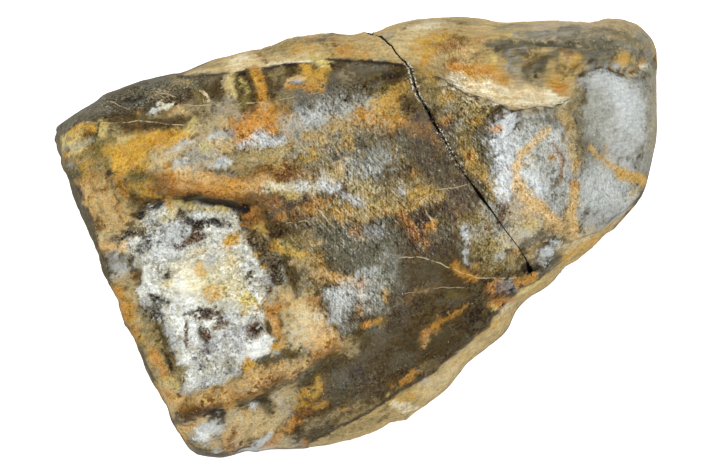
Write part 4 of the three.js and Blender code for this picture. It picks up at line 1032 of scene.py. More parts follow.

# %% Glaze the whole crown
# Thin washes, last of all, that pull each part to its tone. They were placed from a printed list of the
# spots where a blurred render was furthest from that tone, on points 1.5 mm apart, so many of them
# lie at multiples of 1.5 mm.
# The silver and pewter washes brighten the painted sheen on the enamel.
PAINT += read_marks("""
# the left
straw .7 -18.1 10.6 .9 .6; fog .45 -18.2 2.6 .5 1.1; slate .65 -16.5 3.1 .8 .5; sand .5 -18.1 4.6 .7 .6
sand .4 -18.1 -4.6 .5 1.6; fog .7 .7: -16.6 -2.4, -16.5 -3.6; sand .35 -18.2 .2 .5 .8
sand .5 -13.5 7.6 .8 .6 -20; straw .35 -12.4 -.4 1.6 1.9; ochre .5 -13.4 -1.3 .6 .5
ochre .4 -11.2 1.4 .9 .5; violet .4 -14 -5 2.2 .9; peach .6 -10.3 -4.6 .35 .8; tan .5 -10.6 -9.1 .8 .6
sienna .5 -9.3 -10.4 1 .5; ochre .4 -9 -10.5 .6 .3; tan .5 -7.8 -12.15 1.3 .2 5
orange .5 -12.2 -11.7 .9 .25 15; sand .5 -18.2 1.6 .6 .5; sand .5 -10.6 -9 .8 .7
ochre .4 -12.2 -12 .8 .3 15; ochre .35 -18.1 -7.5 .5 .5; sand .35 -13.2 -10.1 1.8 .9
cream .25 -8.2 -5.2 1.4 1.5; sienna .45 1: -17.6 -7.6, -14 -7.8, -11 -7.7; moss .35 -10.5 -1.5 .7 .9
olive .5 .8: -17.5 -1.6, -17.3 -3.2, -17.3 -4.8; sand .5 -18 4.5 .6 .6; straw .5 -18 10.6 .8 .5
sienna .4 -15 6.1 .8 .5; violet .4 -15 -4.5 1 .9; orange .4 -7.6 -6 .8 .7; khaki .4 -9 -4.5 .7 .7
tan .5 1: -8.2 -12.2, -5.8 -11.9; sand .4 -12 -10.4 .9 .5; khaki .4 -12 10.6 1 .4 -15
# the middle
sand .55 -9.1 7.6 .8 .6; umber .65 1.3: 3 6.2, 3.1 4.6, 3.2 3, 3.5 1, 3.8 0; umber .4 1.5 -3 .8 .7
umber .4 3 -6 .8 .5; olive .4 -6 -1.5 .8 .7; sand .4 -6 3 .8 .6 -20; olive .3 -.8 5 2.4 1
sand .5 -9 9 .8 .6; sand .4 -7.4 6 .8 .5; sand .4 -8.9 -3 .8 .5; cream .4 -4.6 3 .8 .6 -20
umber .3 -.2 9 1.8 .8 -10; umber .4 0 7.6 1.2 .6; umber .4 -3.4 10.4 1.6 .6 -15; khaki .5 -4.5 8.9 .8 .5
umber .6 3 3 .7 .8; ash .5 -1.5 -3 .8 .8; sand .4 -1.5 1.5 .9 .7; ash .4 -6 -6 .7 .5
khaki .35 -1.5 -10.5 .9 .4 10; peach .5 -7.6 4.6 .9 .4 -20; straw .5 -6.1 3.1 .8 .35 -15
sand .5 -3 3.1 .9 .6 -20; pewter .5 -1.4 3.1 1.2 1; pewter .45 .2 3.1 .9 1; slate .5 -.6 7.6 1.7 .5
moss .4 -4.4 10.6 .8 .4 -10; umber .8 3.2 1.4 1 1.5; moss .6 -7.4 0 .7 .6 -30; ash .5 -7.4 -3 .8 .4
silver .35 -4.6 -4.5 1.3 .9; ash .35 -3 -6 1 .4; umber .7 1.6 -7.3 .9 .3 10; umber .5 1.6 -3.9 1.2 .6 -20
# the right
khaki .5 5.8 6.3 .6 .5; moss .4 6 6 .5 .5; sand .4 10.5 3 .8 .4; ochre .6 -9 1.5 .7 .8
ochre .4 -8.8 .3 .5 .7; peach .5 -15.3 -10.6 .9 .8; chalk .4 -12 1.4 .8 .7; umber .22 -10.5 0 .7 .8
tan .35 -10.5 -3 .7 .8; sand .12 0 9 .8 .6; sand .3 -12 10.5 .8 .6; tan .35 9 0 .7 .8
ochre .35 7.5 6 .8 .6; sand .3 -6 10.4 .8 .5; ochre .35 -15 6.8 .9 1.2; sand .35 6 -6 .8 .6
orange .35 -7.5 3 .8 .6; umber .28 6 6 .8 .6; sand .3 -12 12 .8 .5; umber .2 -10.5 3 .8 .6
sand .35 -15.6 10.5 1.4 .6; umber .18 -15 -3 .7 .7; ochre .28 -10.5 1.5 .7 .6; pewter .35 -9 0 .6 .7
straw .35 -9 1.5 .6 .7; umber .14 -3 7.5 .8 .7; umber .16 -15 1.2 2 .8; orange .25 -7.5 7.5 .8 .6
ochre .25 -3 -12 .9 .5; umber .16 7.5 7.5 .8 .6; umber .12 7.5 0 .7 .7; pewter .3 10.5 6 .8 .6
sand .4 -18 10.6 .7 .5; sand .3 -13.5 -7.5 .7 .7; loam .5 3 1.5 1 1.6; loam .4 -.8 -8.8 1.2 .6
loam .35 .5 -4.5 1.4 .7; sand .35 -10.5 9 .8 .7; sand .3 -16.5 -10.3 .7 .6; sand .3 -13.5 4.5 .8 .6
sand .3 -18 4.5 .6 .7; tan .4 -4.5 7.5 .8 .6; sand .3 -6 6 .8 .6; umber .3 13.5 4.5 .8 .6
sand .25 7.5 4.5 .7 .7; sand .25 7.3 -6 .7 .6; sand .5 -9 0 .7 .8; peach .45 -15 -10.5 .8 .8
sand .35 -16.5 4.5 .8 .7; umber .25 -15 -4.5 .8 .8; ochre .4 -15 6 .9 .7; tan .4 -6 10.5 .9 .6
sand .4 -18 10.3 .8 .7; sand .35 -18 -6.8 .6 1.4; sand .4 10.2 -6 1.2 .7; sand .35 -8.8 -3 .9 .8
sand .3 -7.4 -3 .8 .8; sand .45 -12 -12 .8 .7; chalk .4 -13.5 -12 .7 .6; umber .35 3 2.2 .9 1.6
tan .25 9 0 .7 .8; sand .3 -10.5 10.5 .8 .6; sand .25 -13.5 10.5 .8 .6; sand .1 -4.5 10.5 .8 .6
sand .3 -6 -7.5 .9 .7; umber .25 -1.5 7.5 .9 .7; sand .25 -18 -1.5 .7 .8; sand .3 9 9 .9 .7
sand .4 4.5 9 .7 .7; silver .35 15 -1.5 .8 .8; silver .35 9 -6 .7 .4
peach .4 .9: 7.4 5.4, 9.2 4.2, 11.4 3.4; cream .4 6 10.4 1 .4 -12; silver .4 10.5 -6 .7 .3 10
cream .4 4.4 -8.9 .8 .25 20; fog .35 6 -4.4 .8 .7; khaki .5 6 -6 .7 .5; sand .5 14.9 -4.5 .6 .4 20
pewter .4 12 .2 .7 .8; slate .6 3.1 -4.4 .5 .9; moss .55 4.5 -4.5 .8 1.1; moss .5 4.4 -6 1 .4 -10
sienna .6 4.5 -7.4 .8 .3; sand .4 6.2 -4.5 .8 .6; sand .7 .7: 9.4 -6.3, 10.5 -6.05, 11.6 -5.95
pewter .5 12.2 -5.8 1.2 .35 10; silver .45 15.2 -3.2 .6 1.2 20; ash .6 14.7 1.3 1 1.8
silver .5 16.2 1.8 .6 1.6; sand .4 13.4 3 .8 .5
""")
print(len(PAINT), "marks so far")

# %% Marks with crisp borders
# Drips, rims, pits and veins, laid over both coats where their borders are sharp.
# bistre along the enamel's broken edge: its dark section, with painted shade under the step
# bistre along the enamel's lower edge: its dark section, with painted shade under the step
# slate along the ripples' valleys: painted shade in them
# slate and bistre in the curled pit: painted shadow under its overhang
# the ledge, and the black line of painted shadow under it
# the pale fog stroke along the fold's crest is a painted sheen
CRISP = read_marks("""
# the rim and the drips
sand .9 .9: -6.9 12.3, -6 12.3, -5.3 12.1, -4.9 11.7; cream .4 .5: -6.6 12.5, -5.8 12.6
sienna .9 .2: -5.2 12.9, -4.9 12.4, -4.75 12, -4.5 11.6; sand .75 .8: -7.15 12, -7.4 11.2, -7.65 10.5
straw .6 .4: -7.2 11.7, -7.35 10.9, -7.4 10.2; umber .9 .32: -6.95 11.1, -7 10.5, -7.05 9.9
moss 1 .42: -6.9 11.6, -6.6 10.9, -6.65 10.2, -7 9.6, -7.3 9.4
straw .6 .2: -6.8 11.3, -6.5 10.8, -6.55 10.2; umber 1 .5: -6.2 11.6, -6.15 10.8, -6.2 9.7
bistre .9 .3: -6.6 11.75, -6.2 11.55, -5.95 11.7; amber 1 .6: -5.65 11.6, -5.5 10.8, -5.6 10, -5.7 9.5
ochre .7 .3: -5.75 11.4, -5.7 10.4; umber .9 .4: -5 11.2, -5 10.2, -5.1 9.5
bistre 1 .26: -4.9 11.38, -3.9 11.12, -3 10.8, -2.2 10.6; cream .8 .2: -4.6 11.6, -3.4 11.25, -1.9 10.8
bistre 1 .3: -.85 10.5, 0 10.08, 1 9.7, 2 9.2, 2.9 8.8, 3.5 8.5
bistre .8 .28: -10.4 12.75, -9.2 12.25, -8 12, -7.3 11.9; sand .6 .3: -10.2 13, -9 12.6, -7.8 12.35
# the eye beside them
peach .9 .26: -4.1 9.7, -3.9 10.05, -3.3 10.05, -2.8 9.75; violet .9 .3: -3.7 9.85, -3.1 9.7
amber 1 .3: -4 9.65, -3.5 9.4, -2.9 9.25; bistre .6 .14: -3.8 9.72, -3.2 9.5
ochre .9 .5: -2.5 10.6, -2.4 10.1; straw .8 .5: -1.6 10.8, -1.2 10.3
# the golden corner
ochre .9 .35: -18.3 11.7, -17.4 11.85, -16.7 11.5; sienna .8 .2: -18.5 11.35, -17.8 11.2, -17 11.2
ash .7 .3: -19 10.95, -18 10.75, -17 10.8; moss .8 .5: -18 10.1, -16.9 10.3, -15.8 10.4
bistre .9 -16.7 8.35 .3 .32; olive .8 -18.9 9.1 .4 .5
umber .9 .7: -14.6 10.8, -13.2 10.4, -12.2 10.05, -11.2 9.8
bistre .4 .4: -14 10.5, -12.8 10.15, -11.4 9.8; sienna .8 -17.6 7.5 .5 .2 -20; sienna .7 -18.2 5.3 .3 .2
sienna .6 -17.2 6.1 .25 .4 10
# the ledge and the black line under it
sienna .8 .6: -14.6 6.6, -13.8 6.3, -13.1 5.9; olive .8 -15 7.4 .8 .35 -10
umber .9 .6: -15.9 6.5, -15.4 6, -14.9 5.8; sienna .7 .3: -14.1 7.2, -12.8 6.5, -11.4 5.7
peach .7 .6: -12.4 6.7, -11.4 6.2, -10.8 5.9
bistre 1 .55: -12.7 5.1, -11.8 4.7, -10.9 4.15, -10 3.65, -9.3 3.1
straw .6 .3: -12.9 4.6, -11.8 4.1, -10.4 3.4
# pits and stains in the crust
bistre .75 .6: -15.5 5.5, -14.9 5.2, -14.3 5.35; fog .9 -15 5.45 .25 .15 20
bistre .8 .35: -16.3 5.3, -15.8 4.9; bistre .6 .4: -18 4.25, -17.2 4.3, -16.3 4
bistre .8 .35: -13.35 4.5, -13 3.8, -12.9 3.2; cocoa .9 .7: -13.4 2.5, -12.8 2.7
bistre .85 .45: -12.6 3.35, -11.6 3.1, -11.2 2.7; slate .7 -17.3 -.9 .8 .9
bistre .8 .3: -17 .1, -16.6 -.3, -16.2 -.6; bistre .7 -17.2 -1.4 .45 .35; fog .6 -17.4 -.3 .35 .3
bistre .8 -15.5 .75 .25 .25; peach .8 -13.35 .5 .4 .6; peach .85 -13.1 -1.3 .8 .5 -10
ochre .85 -10.9 1.6 .6 .35 -10; sand .6 -11.3 .2 .5 .4; violet .7 -12.6 .8 .45 .35
straw .85 -11.2 -2.6 .65 .6; umber .75 .9: -9.4 1.2, -9.1 .3, -9 -.8, -9.2 -1.8; ochre .9 -9.6 .1 .3 .2
ochre .8 -9.4 -.75 .25 .2; amber .8 -8.6 .2 .25 .3; violet .7 -9.6 -1.6 .3 .3; sienna .8 -9 2.3 .8 .45
bistre .7 .3: -9.8 2, -9.2 1.6; umber .7 .35: -8.2 -.9, -8.1 -2, -8 -3.2
cocoa .9 .28: -15.35 -2.4, -15.65 -3.2, -15.9 -4; chalk .9 .45: -15.1 -2.4, -15.25 -3.9
bistre .6 -14.15 -2.1 .6 .25 -10; bistre .8 -14.6 -3.6 .42 .75 8; cocoa 1 -14.5 -3.7 .3 .5 8
cocoa .9 .35: -13.9 -3.4, -13 -3.4; cocoa 1 -11.4 -4.45 .6 .65; bistre .7 -11.35 -4.4 .35 .4
amber .8 .7: -18.7 1.1, -18.6 .2, -18.6 -.8; amber .7 .5: -18.7 -1.6, -18.7 -2.6
orange .8 .4: -17.9 -3.4, -17.9 -5.2; bistre .8 .3: -17.3 -3.9, -17.35 -5
# the flake below it
olive .9 .9: -13.4 -8.7, -12.5 -9, -12.2 -9.5; bistre .7 .4: -12.9 -8.8, -12.4 -9.2
silver 1 -13.1 -9.2 .28 .22 -20; fog .8 .4: -15 -11.65, -13.8 -11.4, -12.8 -11.05
sienna .8 .3: -14.7 -10, -15.3 -10.7, -15.4 -11.2
bistre .8 .2: -9.9 -12.5, -8.2 -12.2, -6 -11.95, -4 -11.5
# rust in the brown enamel
amber .8 1.65 -2.05 .5 .35 10; sienna .7 1.5 -2.25 .35 .14; sienna .8 .3: .1 -1, .5 -2.3, 1 -3.1
amber .8 .4: 2.1 -5, 2.6 -5.6, 3.2 -6.1; amber .7 .5: 5.8 -7.3, 6.8 -7.4; bistre 1 6.55 -6.7 .3 .24 30
# veins in the silver
peach .75 .5: 10.9 1.25, 9.8 .75, 8.8 .35, 8.2 -.2
peach .8 .6: 8.2 -.2, 8 -1, 8.2 -2.2, 8.6 -3.2, 9.2 -4.2, 9.6 -4.9
tan .7 .45: 12.4 1.7, 12.5 .5, 12.1 -.4, 11.9 -1.3, 11.6 -2.1; orange .95 11.35 -2.7 .36 .4
peach .8 .5: 11.2 -3, 10.7 -4.2, 10.3 -5.3, 10.2 -6; amber .9 10.55 -.5 .36 .28 20
slate .9 10.55 -.5 .16 .1 20; sienna .8 .26: 11 .2, 11.2 -.5, 11.2 -1, 10.8 -1.7, 10.5 -2.1
ochre .65 .45: 13.1 -.8, 13.5 -1.5, 14 -2.3, 14.5 -3.1; ochre .9 .8: 14.4 -3, 15.1 -3.5, 15.7 -4
bistre 1 .16: 9 2.1, 9.35 2.75; slate .9 .2: 7.5 -6.3, 7.8 -5.8, 8.4 -5.7, 8.9 -6, 8.7 -6.5, 8.1 -6.6
slate .9 .18: 8.7 -5.4, 9.2 -5.7, 9.7 -6.05
# the basin and the ridge
slate .8 .7: 11 5.3, 11.9 5.2, 12.4 5.6, 13.1 5.7; bistre .5 .4: 11.5 5.1, 12 5.2, 12.4 5.5
slate .8 .5: 9.2 7.9, 10.5 7.6, 12 7, 13.3 6.4, 14.3 5.9, 15 5.2
slate .7 .4: 12 7.6, 14 6.9, 15.5 6.2, 16.5 5.6; ash .6 .3: 11 7.9, 13 7.3, 14.6 6.7
khaki .7 .5: 16.8 5.9, 18 5, 18.9 4.2; slate .6 .4: 14 7.2, 16.2 6.3, 17.6 5.5, 18.6 4.6
orange .6 .4: 6.6 7.3, 7.4 6.7, 8.6 6.1; sienna .5 .3: 5.3 9.3, 6.2 8.9, 7.4 8.7
""")
print(len(CRISP), "crisp marks")

# %% Lay the coats
HEAVY = 0.6  # the power of a mask in the first coat, which covers more,
THIN = 1.7  # in the second coat, which covers less,
CRISP_POWER = 1.0  # and for the crisp marks
FIRST_DRIFT = 0.14  # mm, how far the plan is bent for the first coat,
SECOND_DRIFT = 0.34  # for the second coat,
CRISP_DRIFT = 0.12  # and for the crisp marks

seen = on_top * fade(normals[:, 2], 0.0, 0.25)


def over(coat, mask, name):
    """Lays a pigment over the coat where the mask is 1."""
    return coat + mask[:, None] * (pigment(name) - coat)


def painted(marks, bent, mottle, coat, thinness):
    """Lays each dab and stroke in turn, with its border broken by the mottle."""
    for name, strength, shape in marks:
        if isinstance(shape[-1], list):
            soft = stroke(bent, *shape)
        else:
            soft = dab(bent, *shape)
        near = soft > 0.0
        mask = np.zeros(len(bent))
        mask[near] = (strength * fade(soft[near] + 0.3 * mottle[near], 0.2, 0.85)) ** thinness
        coat = over(coat, mask, name)
    return coat


def coat_of(seed, drift_size, thinness):
    """One coat of paint for the whole crown: heavy below a thinness of 1, and thin above it."""
    drift = np.column_stack([lumps(places, 1.1, seed), lumps(places, 1.1, seed + 1)])
    drift += 0.6 * np.column_stack([lumps(places, 0.45, seed + 2), lumps(places, 0.45, seed + 3)])
    mottle = lumps(places, 0.55, seed + 4)
    crumbs = lumps(places, 0.28, seed + 7)
    wide = lumps(places, 3.2, seed + 5)
    coat = np.tile(pigment("umber"), (len(places), 1))
    coat = over(coat, 0.6 * fade(wide + 0.4 * mottle, 0.0, 0.9), "olive")
    coat = over(coat, 0.4 * fade(mottle - 0.5 * wide, 0.1, 1.0), "slate")
    coat = over(coat, fade(-enamel * face - patches * under, -0.05, 0.2), "tan")
    coat = over(coat, 0.95 * face * fade(crust + 0.3 * mottle, -0.2, 0.3), "plaster")
    coat = over(coat, face * fade(crust - 0.3, 0.0, 0.3) * fade(crumbs + 0.6 * wide, -0.2, 0.4), "chalk")
    top = painted(PAINT, plan + drift_size * drift, 0.7 * mottle + 0.7 * crumbs, coat, thinness)
    top = painted(CRISP, plan + CRISP_DRIFT * drift, 0.6 * crumbs + 0.5 * mottle, top, CRISP_POWER)
    stained = over(coat, under * fade(wide + 0.5 * mottle, 0.25, 0.9), "ochre")
    stained = over(stained, under * fade(lumps(places, 2.2, seed + 6) + 0.4 * mottle, 0.6, 1.1), "orange")
    stained = over(stained, wall, "loam")
    stained = over(stained, 0.7 * wall * fade(mottle + wide, 0.1, 0.9), "moss")
    stained = over(stained, 0.6 * wall * fade(wide - 0.3 * mottle, 0.4, 0.9), "tan")
    return stained + seen[:, None] * (top - stained)


def keep_coat(piece, name, coat):
    """Stores a coat as colours on the mesh."""
    attribute = piece.data.color_attributes.new(name, "FLOAT_COLOR", "POINT")
    attribute.data.foreach_set("color", coat.astype(np.float32).ravel())


keep_coat(crown, "first_coat", coat_of(20, FIRST_DRIFT, HEAVY))
keep_coat(crown, "second_coat", coat_of(40, SECOND_DRIFT, THIN))
print(len(PAINT) + len(CRISP), "marks laid in each coat")

# %% Where hairlines, edges, gloss and rust lie
# Cream threads where a crack has healed with calcite: half their width, how much they show, the path.
HAIRLINES = [
    (0.05, 0.7, [(-0.9, -3.25), (0.2, -3.6), (1.1, -4.2), (2.0, -5.0), (2.6, -5.6)]),
    (0.05, 0.7, [(2.6, -5.6), (3.4, -6.2), (4.2, -6.5), (5.0, -6.8), (5.8, -7.1)]),
    (0.08, 1.0, [(1.5, -0.1), (1.8, -0.6), (1.65, -1.0), (1.85, -1.5)]),
    (0.04, 0.6, [(1.2, -0.1), (3.0, 0.0), (4.8, -0.3)]),
    (0.06, 0.8, [(-4.85, 1.5), (-4.6, 1.0), (-4.5, 0.5)]),
    (0.04, 0.5, [(-7.0, 1.35), (-5.8, 1.1), (-5.4, 0.4)]),
    (0.05, 0.5, [(-15.4, 13.0), (-14.7, 12.3), (-13.9, 11.6)]),
    (0.05, 0.6, [(-12.8, 12.8), (-12.0, 12.2), (-11.1, 11.6)]),
    (0.05, 0.6, [(-10.8, 10.85), (-9.3, 10.35), (-7.8, 9.8), (-5.7, 9.25)]),
    (0.045, 0.6, [(-17.2, 11.95), (-15.4, 11.3), (-13.4, 10.7), (-11.8, 9.9), (-10.0, 9.2)]),
    (0.1, 1.0, [(-9.3, 11.25), (-9.1, 10.95), (-9.05, 10.6)]),
    (0.03, 0.5, [(-1.5, -5.6), (1.0, -6.0), (2.3, -6.5)]),
    (0.03, 0.5, [(-4.9, 9.05), (-3.6, 8.85), (-2.3, 8.6)]),
]
# Where the broken edge of the enamel shows as a dark line, its dark section with painted shade under the
# step: its width, its path and how much it shows.
EDGE_SHOWS = [
    (0.8, [(5.5, 6.9), (6.8, 5.2), (9.5, 3.1), (12.6, 2.6)]),
    (0.9, [(15.2, -4.8), (10.7, -6.1), (7.2, -7.7), (3.0, -9.4), (-3.0, -11.35), (-8.0, -12.25)], 0.8),
    (0.8, [(14.2, 4.0), (16.0, 3.9), (17.0, 3.0)], 0.6),
    (0.9, [(-10.0, 12.9), (-4.0, 11.3), (2.0, 9.25)], 0.5),
]
# Where the surface is worn smooth and shows few grains: x, y, half-axes, turn and how much.
CALM = [
    (12.0, 6.0, 7.0, 3.2, -20),
    (15.8, 1.0, 2.5, 4.0, 0),
    (-14.5, 9.6, 3.0, 1.2, 0, 0.4),
    (-14.3, 0.2, 1.5, 1.6, 0, 0.8),
    (-11.7, -5.8, 1.0, 0.5, 0, 0.9),
    (-8.0, -5.0, 1.2, 1.6, 0, 0.4),
    (1.2, -5.2, 2.8, 1.5, -25, 0.9),
    (-2.4, -9.0, 5.0, 1.4, -8, 0.85),
    (0.4, 8.9, 2.4, 0.7, -20, 0.8),
    (-3.6, 10.2, 1.6, 0.9, -15, 0.9),
    (-8.5, 11.3, 1.5, 0.6, -5, 0.6),
]
# Where the enamel is scuffed, and where painted glints are laid on the scuffs.
WEAR_AND_GLINTS = [
    (-2.2, 1.6, 5.4, 5.4, 0),
    (5.8, 1.0, 2.4, 8.0, -10),
    (-4.4, -4.4, 3.2, 2.6, 0),
    (1.4, -1.6, 3.6, 2.6, 0, 0.9),
    (-6.8, 7.0, 2.0, 0.9, -15, 0.9),
    (-4.4, 3.2, 2.0, 1.0, -25),
    (9.4, -1.0, 3.4, 4.6, 0, 0.55),
    (-12.6, 12.2, 3.8, 1.0, -5),
    (-10.0, 7.6, 2.2, 1.2, -5, 0.35),
    (13.0, -3.8, 2.4, 1.6, 0, 0.35),
    (15.8, 0.8, 2.2, 3.6, 0, 0.2),
    (-1.6, 7.6, 3.2, 1.1, 0, 0.8),
    (-5.5, -9.4, 5.0, 1.6, -5, 0.3),
]
# Where rust shows through in blots.
RUSTY = [
    (-15.8, 8.9, 3.4, 2.2, 0),
    (-17.8, 6.0, 1.5, 2.8, 0),
    (-13.0, 6.4, 2.0, 1.0, -20),
    (-14.5, -7.7, 4.0, 0.8, 0),
    (-8.2, -5.4, 1.8, 1.9, 0, 0.7),
    (-13.6, -10.0, 3.0, 1.2, 0, 0.7),
    (-18.2, -3.0, 1.0, 4.0, 0, 0.7),
    (6.8, 8.3, 2.6, 1.6, -20, 0.7),
    (-0.2, 11.6, 3.0, 0.7, -15, 0.6),
]
# Where the crust is cleft.
CLEFT = [
    (-14.5, 3.8, 3.5, 1.4, 0),
    (-17.0, -0.8, 0.9, 1.4, 0),
    (-9.4, 0.0, 0.8, 2.8, 0),
    (-13.5, -3.2, 1.6, 1.2, 0, 0.7),
    (-14.0, -5.8, 2.0, 0.8, 0, 0.5),
]
print(len(HAIRLINES), "hairlines")

# %% Keep the fields on the mesh
ENAMEL_REACH = 1.5  # mm; farther than this, how far the enamel's end is makes no difference
CRUST_REACH = 1.0
NO_HAIR = 9.0  # mm
HAIR_WAVER = 0.06  # mm


def keep_field(name, values):
    """Stores one number for each point of the crown under this name."""
    attribute = crown.data.attributes.new(name, "FLOAT", "POINT")
    attribute.data.foreach_set("value", np.asarray(values, np.float32))


waver = np.column_stack([lumps(places, 0.6, 17), lumps(places, 0.6, 18)])
hair_gap = np.full(len(plan), NO_HAIR)
hair_side = np.full(len(plan), NO_HAIR)
hair_shows = np.zeros(len(plan))
for half_width, strength, path in HAIRLINES:
    gap, side, _ = to_path(plan + HAIR_WAVER * waver, path)
    closer = gap < hair_gap
    hair_gap[closer] = gap[closer]
    hair_side[closer] = (side / half_width)[closer]
    hair_shows[closer] = strength
keep_field("hair", hair_side)
keep_field("hair_near", face * hair_shows * (1.0 - fade(hair_gap, 0.2, 0.35)))

skin_above = face * np.clip(enamel, -ENAMEL_REACH, ENAMEL_REACH)
skin_below = under * np.clip(patches, -ENAMEL_REACH, ENAMEL_REACH)
keep_field("enamel", skin_above + skin_below - ENAMEL_REACH * wall)
keep_field("crust", face * np.clip(crust, -CRUST_REACH, CRUST_REACH) - (1.0 - face))
keep_field("crack", crack_side / (0.5 * crack_width))
keep_field("crack_near", face * (1.0 - fade(crack_gap, 0.3, 0.5)))
keep_field("crystals", face * lining * (1.0 - fade(crack_gap, 0.12, 0.3)))
keep_field("edge_shows", face * gathered(plan, EDGE_SHOWS))
for name, dabs in {"calm": CALM, "worn": WEAR_AND_GLINTS, "rusty": RUSTY}.items():
    keep_field(name, face * gathered(plan, (), dabs))
in_crust = face * fade(crust, 0.0, 0.4)
keep_field("cleft", in_crust * fade(clefts, 0.45, 0.9) * gathered(plan, (), CLEFT))
print("fields on the mesh:", len(crown.data.attributes))

# %% [markdown]
# ## One material for enamel, dentine and minerals
#
# The fossil is one piece of stone, so it gets one material, in layers from the oldest to the newest:
# the painted coats first, then rust, wear with painted glints, the dark edge of the enamel with painted
# shade under its step, the sand in the dentine, the specks of the crust and the hairlines, and the
# painted shade of the crack last. Each mask is a field plus noise, cut off sharply, so that it breaks
# into specks as the real thing does: a number in front of a noise says how much of it is mixed in, and
# step's two numbers say where the mask starts and where it is whole. Separate materials for each patch
# would give hard, straight borders along the mesh's faces.

# %% Start the material
SEEDS_APART = 7.3  # mm
SPECKLE_ROUGHNESS = 0.6
SPECKLE_SPREAD = 3.0  # widens the noise to -1 to 1


def start_material(name):
    """A new material with an empty tree, to which the next Wires belong."""
    made = bpy.data.materials.new(name)
    made.use_nodes = True
    made.node_tree.nodes.clear()
    Wire.tree = made.node_tree
    return made


def finish_material(shader):
    """Joins the last shader to the material's output."""
    Wire.node("ShaderNodeOutputMaterial", None, {"Surface": shader}, None)


fossil = start_material("fossil_enamel_and_dentine")
here = Wire.node("ShaderNodeTexCoord", output="Object")
mm = Wire.node("ShaderNodeMapping", None, {"Vector": here, "Scale": (1 / MM, 1 / MM, 1 / MM)})


def speckle(size, seed, detail=3.0, longer=1.0, turn=0.0):
    """Noise around 0, from about -1 to 1, in grains of `size` mm that are `longer` along one direction."""
    sockets = {"Vector": mm, "Location": (SEEDS_APART * seed,) * 3, "Scale": (longer, 1.0, 1.0)}
    sockets["Rotation"] = (0.0, 0.0, math.radians(turn))
    laid = Wire.node("ShaderNodeMapping", {"vector_type": "TEXTURE"}, sockets)
    sockets = {"Vector": laid, "Scale": 1.0 / size, "Detail": detail, "Roughness": SPECKLE_ROUGHNESS}
    return SPECKLE_SPREAD * (Wire.node("ShaderNodeTexNoise", None, sockets, "Fac") - 0.5)


def field(name, output="Fac"):
    """What is stored on the mesh under this name."""
    return Wire.node("ShaderNodeAttribute", {"attribute_name": name}, None, output)


grit = speckle(0.11, 8, 2.0)
fine = speckle(0.2, 1, 4.0)
grain = speckle(0.42, 2, 4.0)
patch = speckle(1.4, 3, 4.0)
streaky = speckle(0.45, 4, 4.0, 2.9)
tinge = speckle(0.3, 9, 1.5)
blotch = speckle(0.75, 12, 5.0)
covered = field("enamel")
bare = (covered + 0.05 * fine).step(0.04, -0.04)
print("material started")

# %% The two coats, grain by grain
def blended(kind, colour, red, green, blue):
    """The colour with each of its three channels multiplied by a value, or with the value added to it."""
    other = Wire.node("ShaderNodeCombineColor", None, {0: red, 1: green, 2: blue})
    settings = {"data_type": "RGBA", "blend_type": kind, "clamp_result": kind == "ADD"}
    sockets = {"Factor_Float": 1.0, "A_Color": colour, "B_Color": other}
    return Wire.node("ShaderNodeMix", settings, sockets, "Result_Color")


def scaled(colour, amount, green=1.0, blue=1.0):
    """The colour made lighter or darker by `amount`, a Wire around 1, and its green and blue a bit more."""
    return blended("MULTIPLY", colour, amount, green * amount, blue * amount)


def lifted(colour, amount):
    """The colour with the same `amount` of light added to its red, green and blue."""
    return blended("ADD", colour, amount, amount, amount)


def tinted(colour, amount):
    """The colour made more golden where `amount` is above 0, and more violet where it is below."""
    return blended("MULTIPLY", colour, 1.0 + 0.35 * amount, 1.0, 1.0 - 0.7 * amount)


which = (grain + 0.6 * blotch + 0.4 * fine + 0.2 * grit).step(-0.2, 0.2)
colour = which.over(field("first_coat", "Color"), field("second_coat", "Color"))
matt = field("first_coat", "Alpha") * (1.0 - which) + field("second_coat", "Alpha") * which

# %% Crumbs, stains and rust
STAIN = picked(104, 90, 56)
RUST = picked(158, 104, 50)
STAIN_COVERS, RUST_COVERS, BLOTS_COVER = 0.6, 0.5, 0.45
DARKEST_CRUMB = 0.3
TINGE_STRENGTH = 0.75
GRAIN_SHADE = 0.4
IRON_LIFT = 0.07

busy = (1.0 - 0.7 * field("calm")) * (1.0 - 0.35 * bare)
red = Wire.node("ShaderNodeSeparateColor", None, {"Color": colour})
iron = (red - red.twin("Blue")).maths("DIVIDE", red + 0.1).most(0.0)  # 0 for grey, most for orange
light = red.maths("DIVIDE", red + 0.15)  # 0 for black, and about 0.8 for silver
crumbs = (0.35 * grit + 0.5 * fine + 0.5 * grain + 0.35 * blotch) * busy + 0.1 * patch
colour = scaled(colour, (1.0 + crumbs).most(DARKEST_CRUMB))
colour = tinted(colour, TINGE_STRENGTH * tinge * iron * busy)
stain = (blotch + 0.7 * grain + 0.4 * fine).step(0.25, 0.5) * (2.0 * iron).least(1.0) * busy
colour = (STAIN_COVERS * stain).over(colour, STAIN)
rust = (speckle(0.6, 21, 4.0) + 0.4 * fine).step(0.1, 0.5) * field("rusty")
colour = (RUST_COVERS * rust).over(colour, RUST)
blots = (speckle(0.8, 22, 5.0) + 0.3 * fine).step(0.3, 0.6) * field("rusty")
colour = (BLOTS_COVER * blots).over(colour, STAIN)
dark_grains = (0.9 * fine + 0.8 * grain + 0.3 * blotch).step(0.5, 0.8)
colour = scaled(colour, 1.0 - GRAIN_SHADE * dark_grains * busy)
colour = lifted(colour, IRON_LIFT * (grit + fine) * busy * iron)
print("crumbs, stains and rust laid")

# %% Streaks in the dentine, and brushed marks of wear in the enamel with painted glints on them
GLINT = picked(206, 204, 194)
STREAK_SHADE, SLEEK_SHADE, BRUSHED_SHADE = 0.32, 0.4, 0.42
DARKEST_BRUSHED = 0.5
GLINT_LIFT = 0.13

